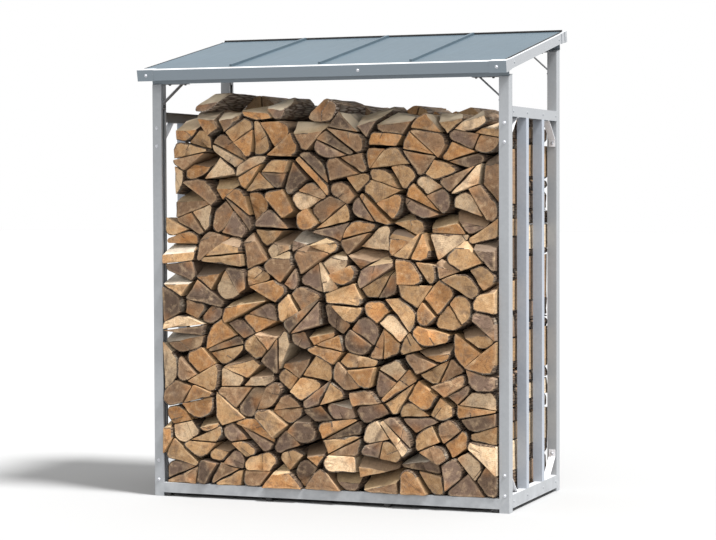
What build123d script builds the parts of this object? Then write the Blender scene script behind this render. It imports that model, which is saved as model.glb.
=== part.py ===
from build123d import *

import math
import os
import random

# Log store: a folded-steel frame with a mono-pitch roof, stacked with split firewood.
# Millimetres, +Z up, front faces -Y. The origin is on the ground under the middle of the roof.

# ---------------------------------------------------------------- overall sizes
store_width = 1680.0  # across the outer faces of the posts
store_depth = 790.0  # front face of the front posts to rear face of the rear posts
front_height = 1919.0  # ground to the top front edge of the roof
roof_slope = 11.3  # degrees, rising to the rear
front_overhang = 109.0
rear_overhang = 50.0
side_overhang = 19.0

# ---------------------------------------------------------------- folded sections
sheet = 1.5
bend_radius = 3.0
post_width = 45.0  # along X
post_depth = 50.0  # along Y
post_lip = 14.0
slat_width = 42.0
slat_depth = 38.0
slat_lip = 11.0
slats_per_side = 2
beam_depth = 35.0  # how far the bottom beams and side rails reach inwards
fit_gap = 0.3  # between a piece and the channel that it slides into

# ---------------------------------------------------------------- heights
ground_gap = 17.0  # clear height under the bottom beams
bottom_beam_height = 45.0
side_beam_height = 58.0
joist_height = 23.0
joist_width = 40.0
joist_positions = (-280.0, 280.0)
floor_bar_width = 40.0
floor_bar_positions = (265.0, 480.0)  # from the front face of the front posts
side_rail_height = 45.0
side_rail_drop = 181.0  # top of the side rails below the top front edge of the roof
top_beam_height = 31.0

# ---------------------------------------------------------------- roof
roof_frame_height = 47.0
fascia_depth = 78.0
roof_side_depth = 30.0
roof_tongue = 40.0  # length of each side beam and rafter inside the fascia channels
rafter_width = 30.0
panel_count = 4
panel_sheet = 1.2
panel_front_margin = 45.0
panel_rear_margin = 30.0
panel_side_margin = 16.0
seam_height = 10.0
seam_cap_width = 12.0
seal_depth = 12.0  # rubber strip behind the panels
seal_height = 9.0
corner_cap_length = 75.0  # sleeve over each end of a fascia

# ---------------------------------------------------------------- braces and feet
brace_sheet = 3.0
brace_width = 30.0
brace_run = 93.0  # along the beam, from the post to the bend
brace_drop = 84.0  # along the post, from the beam to the bend
brace_foot = 32.0
knee_clearance = 12.0  # between a knee brace and the firewood
foot_length = 40.0
foot_width = 28.0
foot_inset = 4.0
foot_chamfer = 4.0

# ---------------------------------------------------------------- firewood: the stack
firewood_seed = 8
wall_gap = 4.0  # between the firewood and the faces of the posts
piece_gap = 0.6  # between neighbouring pieces of firewood
stack_drop = 147.0  # top of the stack below the top front edge of the roof
over_stack = 40.0  # clear height between the firewood and the top beams
swell_height = 46.0  # the stack is higher towards one side
swell_place = -0.62  # of half the width of the store
swell_width = 0.22
tier_height = 1150.0  # the lower stack stands further out than the upper one
lower_tier_front = -17.0  # front ends, from the front face of the front posts
upper_tier_front = 26.0
upper_tier_inset = 41.0  # bare strip beside the front left post in the upper stack
rear_tier_back = -15.0  # rear ends, from the rear face of the rear posts
end_scatter = 22.0  # of the ends that show
row_gap = 24.0  # between the two rows of firewood, end to end
inner_scatter = 8.0  # of the ends that meet in the middle
course_count = 6

# ---------------------------------------------------------------- firewood: the pieces
round_width = 222.0  # spacing of the rounds before they are split
round_height = 162.0
round_reach = 900.0  # distance within which rounds can border on each other
rear_round_scale = 1.1
round_jitter = 0.32  # of the spacing
split_areas = (13600.0, 21500.0)  # an end larger than a size in this range is split
smallest_piece = 3300.0  # area of its end
split_tries = 10
split_lean = 62.0  # degrees from level, because flat pieces lie better
split_offset = 14.0  # how far a split may miss the middle of a piece
split_roundness = 0.6  # of both parts, where a line can be found
least_roundness = 0.3  # under which a splinter is left out
shortest_side = 6.0
shortest_piece = 60.0  # height of a small piece
quarter_share = 0.75  # of the pieces with two split sides; the others have one
quarter_side = 45.0  # shortest of two split sides
quarter_angle = 118.0  # widest angle between them
slack = (0.03, 0.11)  # how much smaller a piece is than the place it was split from
sway = 10.0  # sideways, of the point that it is made smaller about
settling = 0.09  # of its height that the stack loses as its pieces come to rest
bark_cut = 0.4  # of the shorter side at a corner of the bark
shoulder_share = 0.3  # of a single bark side, taken off at each of its ends
shoulder_depth = 0.14
ledge_drops = (26.0, 44.0)  # cut off the front of the pieces on the ledge of the lower stack
ledge_angles = (34.0, 48.0)
crown_share = 0.75  # of the top pieces that taper towards the front
crown_drops = (34.0, 92.0)
crown_angles = (15.0, 27.0)
crown_roll = 14.0
largest_drop = 0.55  # of the height of a piece

# ---------------------------------------------------------------- derived places
slope = math.radians(roof_slope)
half_width = store_width / 2
roof_width = store_width + 2 * side_overhang
roof_depth = store_depth + front_overhang + rear_overhang
roof_front = -roof_depth / 2
roof_length = (roof_depth - roof_frame_height * math.sin(slope)) / math.cos(slope)
post_front = roof_front + front_overhang
post_rear = post_front + store_depth
store_middle = (post_front + post_rear) / 2
inner_face = half_width - post_width
beam_top = ground_gap + bottom_beam_height
side_beam_top = ground_gap + side_beam_height
side_rail_top = front_height - side_rail_drop
stack_height = front_height - stack_drop

os.makedirs("parts", exist_ok=True)


def write(piece, name):
    """Label a finished piece and write it as its own file."""
    piece.part.label = name
    export_step(piece.part, f"parts/{name}.step")


def roof_plane(across, up_slope, below):
    """Plane parallel to the roof: X across, Y up the slope, at a depth below the roof line."""
    y = roof_front + up_slope * math.cos(slope) + below * math.sin(slope)
    z = front_height + up_slope * math.sin(slope) - below * math.cos(slope)
    normal = (0, -math.sin(slope), math.cos(slope))
    return Plane(origin=(across, y, z), x_dir=(1, 0, 0), z_dir=normal)


def slope_at(y):
    """Distance up the slope at which the underside of the roof frame is over the given Y."""
    return (y - roof_front - roof_frame_height * math.sin(slope)) / math.cos(slope)


def channel_section(plane, web, flange, lip=0.0):
    """Section of a folded channel: web along X, flanges along Y, lips turned inwards."""
    with BuildSketch(plane) as section:
        with BuildLine():
            if lip > sheet:
                Polyline(
                    (0, 0), (web, 0), (web, flange), (web - lip, flange),
                    (web - lip, flange - sheet), (web - sheet, flange - sheet),
                    (web - sheet, sheet), (sheet, sheet), (sheet, flange - sheet),
                    (lip, flange - sheet), (lip, flange), (0, flange), close=True,
                )
            else:
                Polyline(
                    (0, 0), (web, 0), (web, flange), (web - sheet, flange), (web - sheet, sheet),
                    (sheet, sheet), (sheet, flange), (0, flange), close=True,
                )
        make_face()
    return section.sketch


def channel(plane, length, web, flange, lip=0.0):
    """Folded channel that stands on a plane and runs along its normal."""
    with BuildPart() as bar:
        extrude(channel_section(plane, web, flange, lip), amount=length)
    return bar


def upright_plane(side, front, depth, height):
    """Plane of an upright whose web is its outer face; side is -1 for left and 1 for right."""
    start = front if side > 0 else front + depth
    return Plane(origin=(side * half_width, start, height), x_dir=(0, side, 0), z_dir=(0, 0, 1))


# ---------------------------------------------------------------- posts
under_top_beam = roof_frame_height + top_beam_height
top_cut = roof_plane(0, 0, under_top_beam)
post_blank = front_height + roof_depth * math.tan(slope)  # longer than any post, cut to the slope

for side, side_name in ((-1, "left"), (1, "right")):
    for end_name, front in (("front", post_front), ("rear", post_rear - post_depth)):
        base = upright_plane(side, front, post_depth, 0)
        with BuildPart() as post:
            extrude(channel_section(base, post_depth, post_width, post_lip), amount=post_blank)
            web_edges = post.edges().filter_by(Axis.Z).group_by(SortBy.LENGTH)[-1]
            outer = [e for e in web_edges if abs(abs(e.center().X) - half_width) < sheet / 2]
            fillet(outer, bend_radius)
            split(bisect_by=top_cut, keep=Keep.BOTTOM)
        write(post, f"{end_name}_{side_name}_post")

# ---------------------------------------------------------------- bottom frame
front_beam_plane = Plane(
    origin=(-inner_face, post_front, beam_top), x_dir=(0, 0, -1), z_dir=(1, 0, 0)
)
front_bottom_beam = channel(front_beam_plane, 2 * inner_face, bottom_beam_height, beam_depth)
write(front_bottom_beam, "front_bottom_beam")

rear_beam_plane = Plane(
    origin=(-inner_face, post_rear, ground_gap), x_dir=(0, 0, 1), z_dir=(1, 0, 0)
)
rear_bottom_beam = channel(rear_beam_plane, 2 * inner_face, bottom_beam_height, beam_depth)
write(rear_bottom_beam, "rear_bottom_beam")

side_start = post_front + post_depth
side_length = store_depth - 2 * post_depth


def side_channel(side, bottom, height):
    """Channel between the two posts of one side, its web flush with the outer faces."""
    start = bottom if side < 0 else bottom + height
    plane = Plane(
        origin=(side * half_width, side_start, start), x_dir=(0, 0, -side), z_dir=(0, 1, 0)
    )
    return channel(plane, side_length, height, beam_depth)


for side, side_name in ((-1, "left"), (1, "right")):
    write(side_channel(side, ground_gap, side_beam_height), f"{side_name}_bottom_beam")
    rail_bottom = side_rail_top - side_rail_height
    write(side_channel(side, rail_bottom, side_rail_height), f"{side_name}_top_rail")

# ---------------------------------------------------------------- floor
joist_bottom = ground_gap + sheet + fit_gap
joist_top = joist_bottom + joist_height
joist_reach = sheet + fit_gap  # from the outer face of a beam to the end of a joist
joist_length = store_depth - 2 * joist_reach
for number, across in enumerate(joist_positions, start=1):
    joist_plane = Plane(
        origin=(across - joist_width / 2, post_front + joist_reach, joist_top),
        x_dir=(1, 0, 0),
        z_dir=(0, 1, 0),
    )
    write(channel(joist_plane, joist_length, joist_width, joist_height), f"floor_joist_{number}")

bar_height = beam_top - joist_top
bar_reach = half_width - sheet - fit_gap
for number, depth in enumerate(floor_bar_positions, start=1):
    bar_plane = Plane(
        origin=(-bar_reach, post_front + depth + floor_bar_width / 2, beam_top),
        x_dir=(0, -1, 0),
        z_dir=(1, 0, 0),
    )
    floor_bar = channel(bar_plane, 2 * bar_reach, floor_bar_width, bar_height)
    write(floor_bar, f"floor_bar_{number}")

# ---------------------------------------------------------------- feet
corner_foot = inner_face - foot_width / 2 - foot_inset
foot_columns = (-corner_foot, *joist_positions, corner_foot)
foot_rows = (
    post_front + foot_inset + foot_length / 2,
    post_rear - foot_inset - foot_length / 2,
)
with BuildPart() as feet:
    with BuildSketch() as pads:
        with Locations(*[(x, y) for x in foot_columns for y in foot_rows]):
            Rectangle(foot_width, foot_length)
        chamfer(pads.vertices(), foot_chamfer)
    extrude(amount=ground_gap)
write(feet, "foot_pads")

# ---------------------------------------------------------------- side slats
slat_bottom = side_beam_top
slat_length = side_rail_top - side_rail_height - side_beam_top
slat_pitch = (side_length + slat_depth) / (slats_per_side + 1)
for side, side_name in ((-1, "left"), (1, "right")):
    for number in range(1, slats_per_side + 1):
        slat_front = side_start - slat_depth + number * slat_pitch
        slat_plane = upright_plane(side, slat_front, slat_depth, slat_bottom)
        slat = channel(slat_plane, slat_length, slat_depth, slat_width, slat_lip)
        write(slat, f"{side_name}_slat_{number}")

# ---------------------------------------------------------------- top beams on the posts
front_beam_slope = slope_at(post_front)
rear_beam_slope = slope_at(post_rear)
top_beam_flange = post_depth / math.cos(slope)


def top_beam(up_slope, direction):
    """Channel along X under the roof frame; direction is the way its flanges point up the slope."""
    top = roof_plane(-half_width, up_slope, roof_frame_height)
    normal = top.z_dir
    origin = top.origin if direction > 0 else top.origin - normal * top_beam_height
    plane = Plane(origin=origin, x_dir=-normal * direction, z_dir=(1, 0, 0))
    return channel(plane, store_width, top_beam_height, top_beam_flange)


write(top_beam(front_beam_slope, 1), "front_top_beam")
write(top_beam(rear_beam_slope, -1), "rear_top_beam")

# ---------------------------------------------------------------- roof frame


def eave_channel(up_slope, direction, left, length, flange, outset, walls):
    """Deep channel along one eave; walls are the distances along it of its end walls.

    direction is the way its flanges point up the slope, outset how far it stands outside a fascia.
    """
    height = roof_frame_height + 2 * outset
    top = roof_plane(left, up_slope - direction * outset, -outset)
    origin = top.origin if direction > 0 else top.origin - top.z_dir * height
    plane = Plane(origin=origin, x_dir=-top.z_dir * direction, z_dir=(1, 0, 0))
    with BuildPart() as board:
        extrude(channel_section(plane, height, flange), amount=length)
        for start in walls:
            with BuildSketch(plane.offset(start)):
                Rectangle(height, flange, align=(Align.MIN, Align.MIN))
            extrude(amount=sheet)
    return board


cap_outset = sheet + fit_gap
eaves = (("front", 0, 1, panel_front_margin), ("rear", roof_length, -1, panel_rear_margin))
for end_name, up_slope, direction, margin in eaves:
    end_walls = (0, roof_width - sheet)
    fascia = eave_channel(
        up_slope, direction, -roof_width / 2, roof_width, fascia_depth, 0, end_walls
    )
    write(fascia, f"{end_name}_fascia")
    cap_flange = margin - fit_gap + cap_outset
    cap_length = corner_cap_length + cap_outset
    with BuildPart() as corner_caps:
        for left, wall in (
            (-roof_width / 2 - cap_outset, 0),
            (roof_width / 2 - corner_cap_length, cap_length - sheet),
        ):
            cap = eave_channel(
                up_slope, direction, left, cap_length, cap_flange, cap_outset, (wall,)
            )
            add(cap.part)
    write(corner_caps, f"{end_name}_roof_corner_caps")

tongue_height = roof_frame_height - 2 * (sheet + fit_gap)
member_start = fascia_depth - roof_tongue
member_length = roof_length - 2 * member_start


def roof_member(across, direction, flange):
    """Channel up the slope with its ends in the fascia channels; direction is where it opens."""
    below = sheet + fit_gap
    base = roof_plane(across, member_start, below if direction > 0 else below + tongue_height)
    plane = Plane(origin=base.origin, x_dir=base.z_dir * -direction, z_dir=base.y_dir)
    return channel(plane, member_length, tongue_height, flange)


side_face = roof_width / 2 - sheet - fit_gap
write(roof_member(-side_face, -1, roof_side_depth), "roof_left_beam")
write(roof_member(side_face, 1, roof_side_depth), "roof_right_beam")

panel_pitch = (roof_width - 2 * panel_side_margin) / panel_count
seam_positions = [
    -roof_width / 2 + panel_side_margin + number * panel_pitch for number in range(1, panel_count)
]
for number, across in enumerate(seam_positions, start=1):
    rafter = roof_member(across + rafter_width / 2, 1, rafter_width)
    write(rafter, f"roof_rafter_{number}")

# ---------------------------------------------------------------- roof panels
panel_length = roof_length - panel_front_margin - panel_rear_margin
panel_width = panel_pitch - 2 * fit_gap
for number in range(panel_count):
    left = -roof_width / 2 + panel_side_margin + number * panel_pitch + fit_gap
    base = roof_plane(left, panel_front_margin, 0)
    section_plane = Plane(origin=base.origin, x_dir=(1, 0, 0), z_dir=-base.y_dir)
    with BuildPart() as panel:
        with BuildSketch(section_plane):
            Rectangle(panel_width, panel_sheet, align=(Align.MIN, Align.MIN))
            upstand = (panel_sheet, seam_height)
            if number > 0:
                Rectangle(*upstand, align=(Align.MIN, Align.MIN))
            if number < panel_count - 1:
                with Locations((panel_width - panel_sheet, 0)):
                    Rectangle(*upstand, align=(Align.MIN, Align.MIN))
        extrude(amount=-panel_length)
    write(panel, f"roof_panel_{number + 1}")

with BuildPart() as seam_caps:
    for across in seam_positions:
        base = roof_plane(across, panel_front_margin, 0)
        section_plane = Plane(origin=base.origin, x_dir=(1, 0, 0), z_dir=-base.y_dir)
        with BuildSketch(section_plane):
            cap_bottom = panel_sheet + fit_gap
            cap_height = seam_height + fit_gap + panel_sheet - cap_bottom
            with Locations((0, cap_bottom)):
                Rectangle(seam_cap_width, cap_height, align=(Align.CENTER, Align.MIN))
                slot_width = 2 * (panel_sheet + 2 * fit_gap)
                Rectangle(
                    slot_width, cap_height - panel_sheet,
                    align=(Align.CENTER, Align.MIN), mode=Mode.SUBTRACT,
                )
        extrude(amount=-panel_length)
write(seam_caps, "roof_seam_caps")

seal_reach = roof_width / 2 - corner_cap_length - fit_gap
seal_base = roof_plane(-seal_reach, roof_length - panel_rear_margin + fit_gap, 0)
with BuildPart() as rear_seal:
    with BuildSketch(seal_base):
        Rectangle(2 * seal_reach, seal_depth, align=(Align.MIN, Align.MIN))
    extrude(amount=seal_height)
write(rear_seal, "roof_rear_seal")

# ---------------------------------------------------------------- braces


def brace_section(corner, along_beam, along_post):
    """Bent strip in a corner, with one foot on the beam and one on the post."""
    t = brace_sheet
    angle = math.atan2(brace_drop, brace_run)
    along = t * math.tan(angle / 2)
    down = t * math.tan((math.pi / 2 - angle) / 2)
    normal = Vector(*along_beam).cross(Vector(*along_post))
    with BuildSketch(Plane(origin=corner, x_dir=along_beam, z_dir=normal)) as section:
        with BuildLine():
            Polyline(
                (brace_run + brace_foot, 0), (brace_run, 0), (0, brace_drop),
                (0, brace_drop + brace_foot), (t, brace_drop + brace_foot),
                (t, brace_drop + down), (brace_run + along, t), (brace_run + brace_foot, t),
                close=True,
            )
        make_face()
    return section.sketch


# The knee braces reach a sloping beam, so each is set at the lower edge of the beam.
for side, side_name in ((-1, "left"), (1, "right")):
    for end_name, y in (("front", post_front), ("rear", post_rear - post_depth)):
        middle = y + post_depth / 2
        low_edge = middle - brace_width / 2
        drop = roof_plane(0, slope_at(low_edge), under_top_beam)
        level = drop.origin.Z + (low_edge - drop.origin.Y) * math.tan(slope)
        strip = brace_section((side * inner_face, middle, level), (-side, 0, 0), (0, 0, -1))
        with BuildPart() as knee_brace:
            extrude(strip, amount=brace_width / 2, both=True)
        write(knee_brace, f"{end_name}_{side_name}_knee_brace")

brace_x = half_width - post_width / 2
for side, side_name in ((-1, "left"), (1, "right")):
    with BuildPart() as corner_braces:
        for end, y in ((1, side_start), (-1, side_start + side_length)):
            for up, z in ((-1, side_rail_top - side_rail_height), (1, side_beam_top)):
                strip = brace_section((side * brace_x, y, z), (0, end, 0), (0, 0, up))
                extrude(strip, amount=brace_width / 2, both=True)
    write(corner_braces, f"{side_name}_side_braces")

# ---------------------------------------------------------------- firewood outlines


def clipped(outline, normal, limit):
    """The part of a convex outline on the low side of the line normal . point = limit."""
    kept = []
    for here, after in zip(outline, outline[1:] + outline[:1]):
        here_over = normal[0] * here[0] + normal[1] * here[1] - limit
        after_over = normal[0] * after[0] + normal[1] * after[1] - limit
        if here_over <= 0:
            kept.append(here)
        if here_over * after_over < 0:
            share = here_over / (here_over - after_over)
            kept.append(tuple(a + share * (b - a) for a, b in zip(here, after)))
    return kept


def area(outline):
    """Area of an outline that runs anticlockwise."""
    pairs = zip(outline, outline[1:] + outline[:1])
    return sum(a[0] * b[1] - b[0] * a[1] for a, b in pairs) / 2


def centre(outline):
    """Mean of an outline's corners."""
    return tuple(sum(values) / len(outline) for values in zip(*outline))


def roundness(outline):
    """1 for a circle, less for a thin outline."""
    around = sum(math.dist(a, b) for a, b in zip(outline, outline[1:] + outline[:1]))
    return 4 * math.pi * area(outline) / around**2 if len(outline) > 2 else 0.0


def tidied(outline):
    """An outline without its very short sides."""
    tidy = []
    for point in outline:
        if not tidy or math.dist(point, tidy[-1]) > shortest_side:
            tidy.append(point)
    while len(tidy) > 3 and math.dist(tidy[0], tidy[-1]) <= shortest_side:
        tidy.pop()
    return tidy


def shrunk(outline, margin):
    """A convex outline with every side moved inwards."""
    result = outline
    for a, b in zip(outline, outline[1:] + outline[:1]):
        length = math.dist(a, b)
        if length < 1e-6:
            continue
        outward = ((b[1] - a[1]) / length, (a[0] - b[0]) / length)
        result = clipped(result, outward, outward[0] * a[0] + outward[1] * a[1] - margin)
    return tidied(result)


def split_once(outline, rng):
    """Cut an outline in two by the best of a few lines near its middle."""
    middle = centre(outline)
    best = None
    for _ in range(split_tries):
        lean = math.radians(rng.uniform(-split_lean, split_lean))
        normal = (math.sin(lean), math.cos(lean))
        limit = normal[0] * middle[0] + normal[1] * middle[1]
        limit += rng.uniform(-split_offset, split_offset)
        parts = [
            clipped(outline, normal, limit),
            clipped(outline, (-normal[0], -normal[1]), -limit),
        ]
        score = min(roundness(part) for part in parts)
        if best is None or score > best[0]:
            best = (score, parts)
        if score > split_roundness:
            break
    return best[1]


def split_up(cell, scale, rng):
    """The pieces that one round is split into."""
    found = []
    waiting = [cell]
    while waiting:
        outline = waiting.pop()
        if area(outline) > scale**2 * rng.uniform(*split_areas):
            waiting += split_once(outline, rng)
        else:
            found.append(outline)
    return found


def rounds(rng, region, scale):
    """Convex cells that fill a region, one round each, from a staggered and jittered grid."""
    left, right, bottom, top = region
    columns = round((right - left) / (round_width * scale))
    rows = round((top - bottom) / (round_height * scale))
    pitch_x = (right - left) / columns
    pitch_z = (top - bottom) / rows
    sites = []
    for row in range(rows):
        for column in range(columns + row % 2):
            x = left + (column + 0.5 - 0.5 * (row % 2)) * pitch_x
            z = bottom + (row + 0.5) * pitch_z
            x += rng.uniform(-round_jitter, round_jitter) * pitch_x
            z += rng.uniform(-round_jitter, round_jitter) * pitch_z
            sites.append((x, z))
    cells = []
    for here in sites:
        cell = [(left, bottom), (right, bottom), (right, top), (left, top)]
        for other in sites:
            if other != here and math.dist(here, other) < round_reach:
                normal = (other[0] - here[0], other[1] - here[1])
                limit = (math.hypot(*other) ** 2 - math.hypot(*here) ** 2) / 2
                cell = clipped(cell, normal, limit)
        if len(cell) > 2:
            cells.append(cell)
    return cells


def stack_top(x):
    """Height that the middle of a top piece may reach at a place along the store."""
    along = (x / half_width - swell_place) / swell_width
    return stack_height - shortest_piece / 2 + swell_height * math.exp(-(along**2))


def height_range(outline, x):
    """Lowest and highest point of a convex outline at a place across it."""
    heights = []
    for a, b in zip(outline, outline[1:] + outline[:1]):
        if min(a[0], b[0]) <= x <= max(a[0], b[0]):
            share = (x - a[0]) / (b[0] - a[0]) if a[0] != b[0] else 0.5
            heights.append(a[1] + share * (b[1] - a[1]))
    return min(heights), max(heights)


def overlap(one, other):
    """The stretch across the store that two outlines share, empty where the first is not less."""
    left = max(min(x for x, _ in one), min(x for x, _ in other))
    right = min(max(x for x, _ in one), max(x for x, _ in other))
    return left, right


def lies_over(upper, lower):
    """Whether one outline would land on the other."""
    left, right = overlap(upper, lower)
    middle = (left + right) / 2
    return left < right and height_range(upper, middle)[0] > height_range(lower, middle)[0]


def fall(outline, placed):
    """How far an outline falls before it lands on the floor or on a piece that is placed."""
    distances = [min(z for _, z in outline) - beam_top - fit_gap]
    for below in placed:
        left, right = overlap(outline, below)
        if left < right:
            places = [left, right] + [x for x, _ in outline + below if left < x < right]
            heights = [height_range(outline, x)[0] - height_range(below, x)[1] for x in places]
            distances.append(min(heights) - piece_gap)
    return min(distances)


def settled(outlines):
    """The outlines at rest on each other, each let down after all that lie below it."""
    waiting = sorted(outlines, key=lambda outline: min(z for _, z in outline))
    placed = []
    while waiting:
        free = (o for o in waiting if not any(lies_over(o, p) for p in waiting if p is not o))
        outline = next(free)
        waiting.remove(outline)
        distance = fall(outline, placed)
        placed.append([(x, z - distance) for x, z in outline])
    return placed


def corner_angle(outline, place):
    """Angle in degrees at a corner of an outline."""
    before, corner, after = (outline[(place + step) % len(outline)] for step in (-1, 0, 1))
    there = math.atan2(before[1] - corner[1], before[0] - corner[0])
    here = math.atan2(after[1] - corner[1], after[0] - corner[0])
    return math.degrees((there - here) % math.tau)


def turned(outline, rng):
    """An outline that starts with its split sides, and how many of them it has."""
    count = len(outline)
    lengths = [math.dist(outline[i], outline[(i + 1) % count]) for i in range(count)]
    hearts = [
        i
        for i in range(count)
        if min(lengths[i - 1], lengths[i]) > quarter_side
        and corner_angle(outline, i) < quarter_angle
    ]
    if hearts and rng.random() < quarter_share:
        start = rng.choice(hearts) - 1
        splits = 2
    else:
        start = lengths.index(max(lengths))
        splits = 1
    return [outline[(start + i) % count] for i in range(count)], splits


def towards(point, target, distance):
    """The point moved towards a target."""
    share = distance / math.dist(point, target)
    return tuple(p + share * (t - p) for p, t in zip(point, target))


def barked(outline, splits):
    """An outline with its bark side rounded; its first sides are split and stay straight."""
    count = len(outline)
    result = []
    for place, corner in enumerate(outline):
        before, after = outline[place - 1], outline[(place + 1) % count]
        one_side = count - splits == 1
        shoulder = one_side and place in (0, splits)
        inner = place > splits
        lengths = (math.dist(corner, before), math.dist(corner, after))
        if shoulder:
            shares = (shoulder_share, shoulder_depth)
            if place:
                shares = shares[::-1]
            cuts = [share * length for share, length in zip(shares, lengths)]
        else:
            cuts = [bark_cut * min(lengths)] * 2
        if (shoulder or inner) and min(cuts) > shortest_side:
            start, end = towards(corner, before, cuts[0]), towards(corner, after, cuts[1])
            bulge = tuple((a + 2 * c + b) / 4 for a, c, b in zip(start, corner, end))
            result += [start, bulge, end]
        else:
            result.append(corner)
    return result


def made_smaller(outline, rng):
    """An outline made smaller about a point on the level of its lowest corner."""
    share = 1 - rng.uniform(*slack)
    fixed = (centre(outline)[0] + rng.uniform(-sway, sway), min(z for _, z in outline))
    return [tuple(f + share * (p - f) for p, f in zip(point, fixed)) for point in outline]


def kept_clear(outline, clearances):
    """What is left of an outline on the free side of every line."""
    for normal, limit in clearances:
        outline = clipped(outline, normal, limit)
    return tidied(outline)


def is_piece(outline):
    """Whether an outline is large and round enough for a piece of firewood."""
    if len(outline) < 3 or roundness(outline) < least_roundness:
        return False
    return area(outline) > smallest_piece


def firewood(rng, scale, clearances, left_inset):
    """Outlines of one row of firewood, from the floor to the top of the stack."""
    wall = inner_face - wall_gap
    top = stack_height * (1 + settling) + 2 * round_height
    pieces = []
    for cell in rounds(rng, (-wall, wall, beam_top, top), scale):
        if centre(cell)[1] > tier_height * (1 + settling):
            cell = clipped(cell, (-1, 0), wall - left_inset)
        if len(cell) > 2 and area(cell) > smallest_piece:
            parts = [shrunk(part, piece_gap / 2) for part in split_up(cell, scale, rng)]
            parts = [barked(*turned(part, rng)) for part in parts if is_piece(part)]
            pieces += [made_smaller(part, rng) for part in parts]
    kept = [kept_clear(outline, clearances) for outline in settled(pieces)]
    kept = [o for o in kept if is_piece(o) and centre(o)[1] < stack_top(centre(o)[0])]
    return settled(kept)


def holds(outline, point):
    """Whether a convex outline that runs anticlockwise holds a point."""
    sides = zip(outline, outline[1:] + outline[:1])
    return all(
        (b[0] - a[0]) * (point[1] - a[1]) > (b[1] - a[1]) * (point[0] - a[0]) for a, b in sides
    )


def taper(outline, row, rng):
    """Drop, angle and roll of the slanting cut on a piece that shows its top, or None."""
    x, z = max(outline, key=lambda corner: corner[1])
    over = [o for o in row if holds(o, (x, z + shortest_piece / 2))]
    lowest = min(corner[1] for corner in outline)
    if not over and rng.random() < crown_share:
        drop, angle = rng.uniform(*crown_drops), rng.uniform(*crown_angles)
    elif over and centre(outline)[1] < tier_height < centre(over[0])[1]:
        drop, angle = rng.uniform(*ledge_drops), rng.uniform(*ledge_angles)
    else:
        return None
    return min(drop, largest_drop * (z - lowest)), angle, rng.uniform(-crown_roll, crown_roll)


def split_piece(outline, front_end, rear_end, cut):
    """One piece of firewood, cut down towards its front end where its top shows."""
    with BuildPart() as piece:
        with BuildSketch(Plane.XZ.offset(-front_end)):
            with BuildLine():
                Polyline(*outline, close=True)
            make_face()
        extrude(amount=front_end - rear_end)
        if cut:
            drop, angle, roll = cut
            x, z = max(outline, key=lambda corner: corner[1])
            slant = Plane(origin=(x, front_end, z - drop)).rotated((angle, roll, 0))
            split(bisect_by=slant, keep=Keep.BOTTOM)
    return piece.part


def write_firewood(name, row, rng, ends, tapers):
    """Write one row of firewood as courses; ends gives the front and rear ends of a piece."""
    bands = [[] for _ in range(course_count)]
    for outline in row:
        share = (centre(outline)[1] - beam_top) / (stack_height - beam_top)
        bands[min(int(share * course_count), course_count - 1)].append(outline)
    for number, band in enumerate(bands, start=1):
        with BuildPart() as course:
            for outline in band:
                front_end, rear_end = ends(outline, rng)
                cut = taper(outline, row, rng) if tapers else None
                add(split_piece(outline, front_end, rear_end, cut))
        write(course, f"{name}_{number}")


def front_ends(outline, rng):
    """Front and rear ends of a piece in the front row."""
    tier = lower_tier_front if centre(outline)[1] < tier_height else upper_tier_front
    front_end = post_front + tier + rng.uniform(-end_scatter, end_scatter)
    return front_end, store_middle - row_gap / 2 + rng.uniform(-inner_scatter, inner_scatter)


def rear_ends(outline, rng):
    """Front and rear ends of a piece in the rear row."""
    rear_end = post_rear + rear_tier_back + rng.uniform(-end_scatter, end_scatter)
    return store_middle + row_gap / 2 + rng.uniform(-inner_scatter, inner_scatter), rear_end


# Room for the front knee braces: a line outside each diagonal, and the foot on the post.
knee = roof_plane(0, slope_at(post_front), under_top_beam).origin.Z
knee_angle = math.atan2(brace_drop, brace_run)
knee_normal = (math.sin(knee_angle), math.cos(knee_angle))
knee_limit = knee_normal[0] * (inner_face - brace_run) + knee_normal[1] * knee - knee_clearance
knee_clearances = [
    (knee_normal, knee_limit),
    ((-knee_normal[0], knee_normal[1]), knee_limit),
    ((0, 1), knee - over_stack),
]
random_source = random.Random(firewood_seed)
front_row = firewood(random_source, 1.0, knee_clearances, upper_tier_inset)
write_firewood("front_firewood", front_row, random_source, front_ends, True)
rear_clearances = [((0, 1), knee - over_stack)]
rear_row = firewood(random_source, rear_round_scale, rear_clearances, upper_tier_inset)
write_firewood("rear_firewood", rear_row, random_source, rear_ends, False)
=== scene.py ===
"""Looks of a steel log store: powder-coated frame, sheet roof, bolts, rubber feet and firewood."""

import logging
import math
import random
from dataclasses import dataclass, field
from enum import Enum

import bmesh
import bpy
from mathutils import Matrix, Vector, noise

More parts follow.
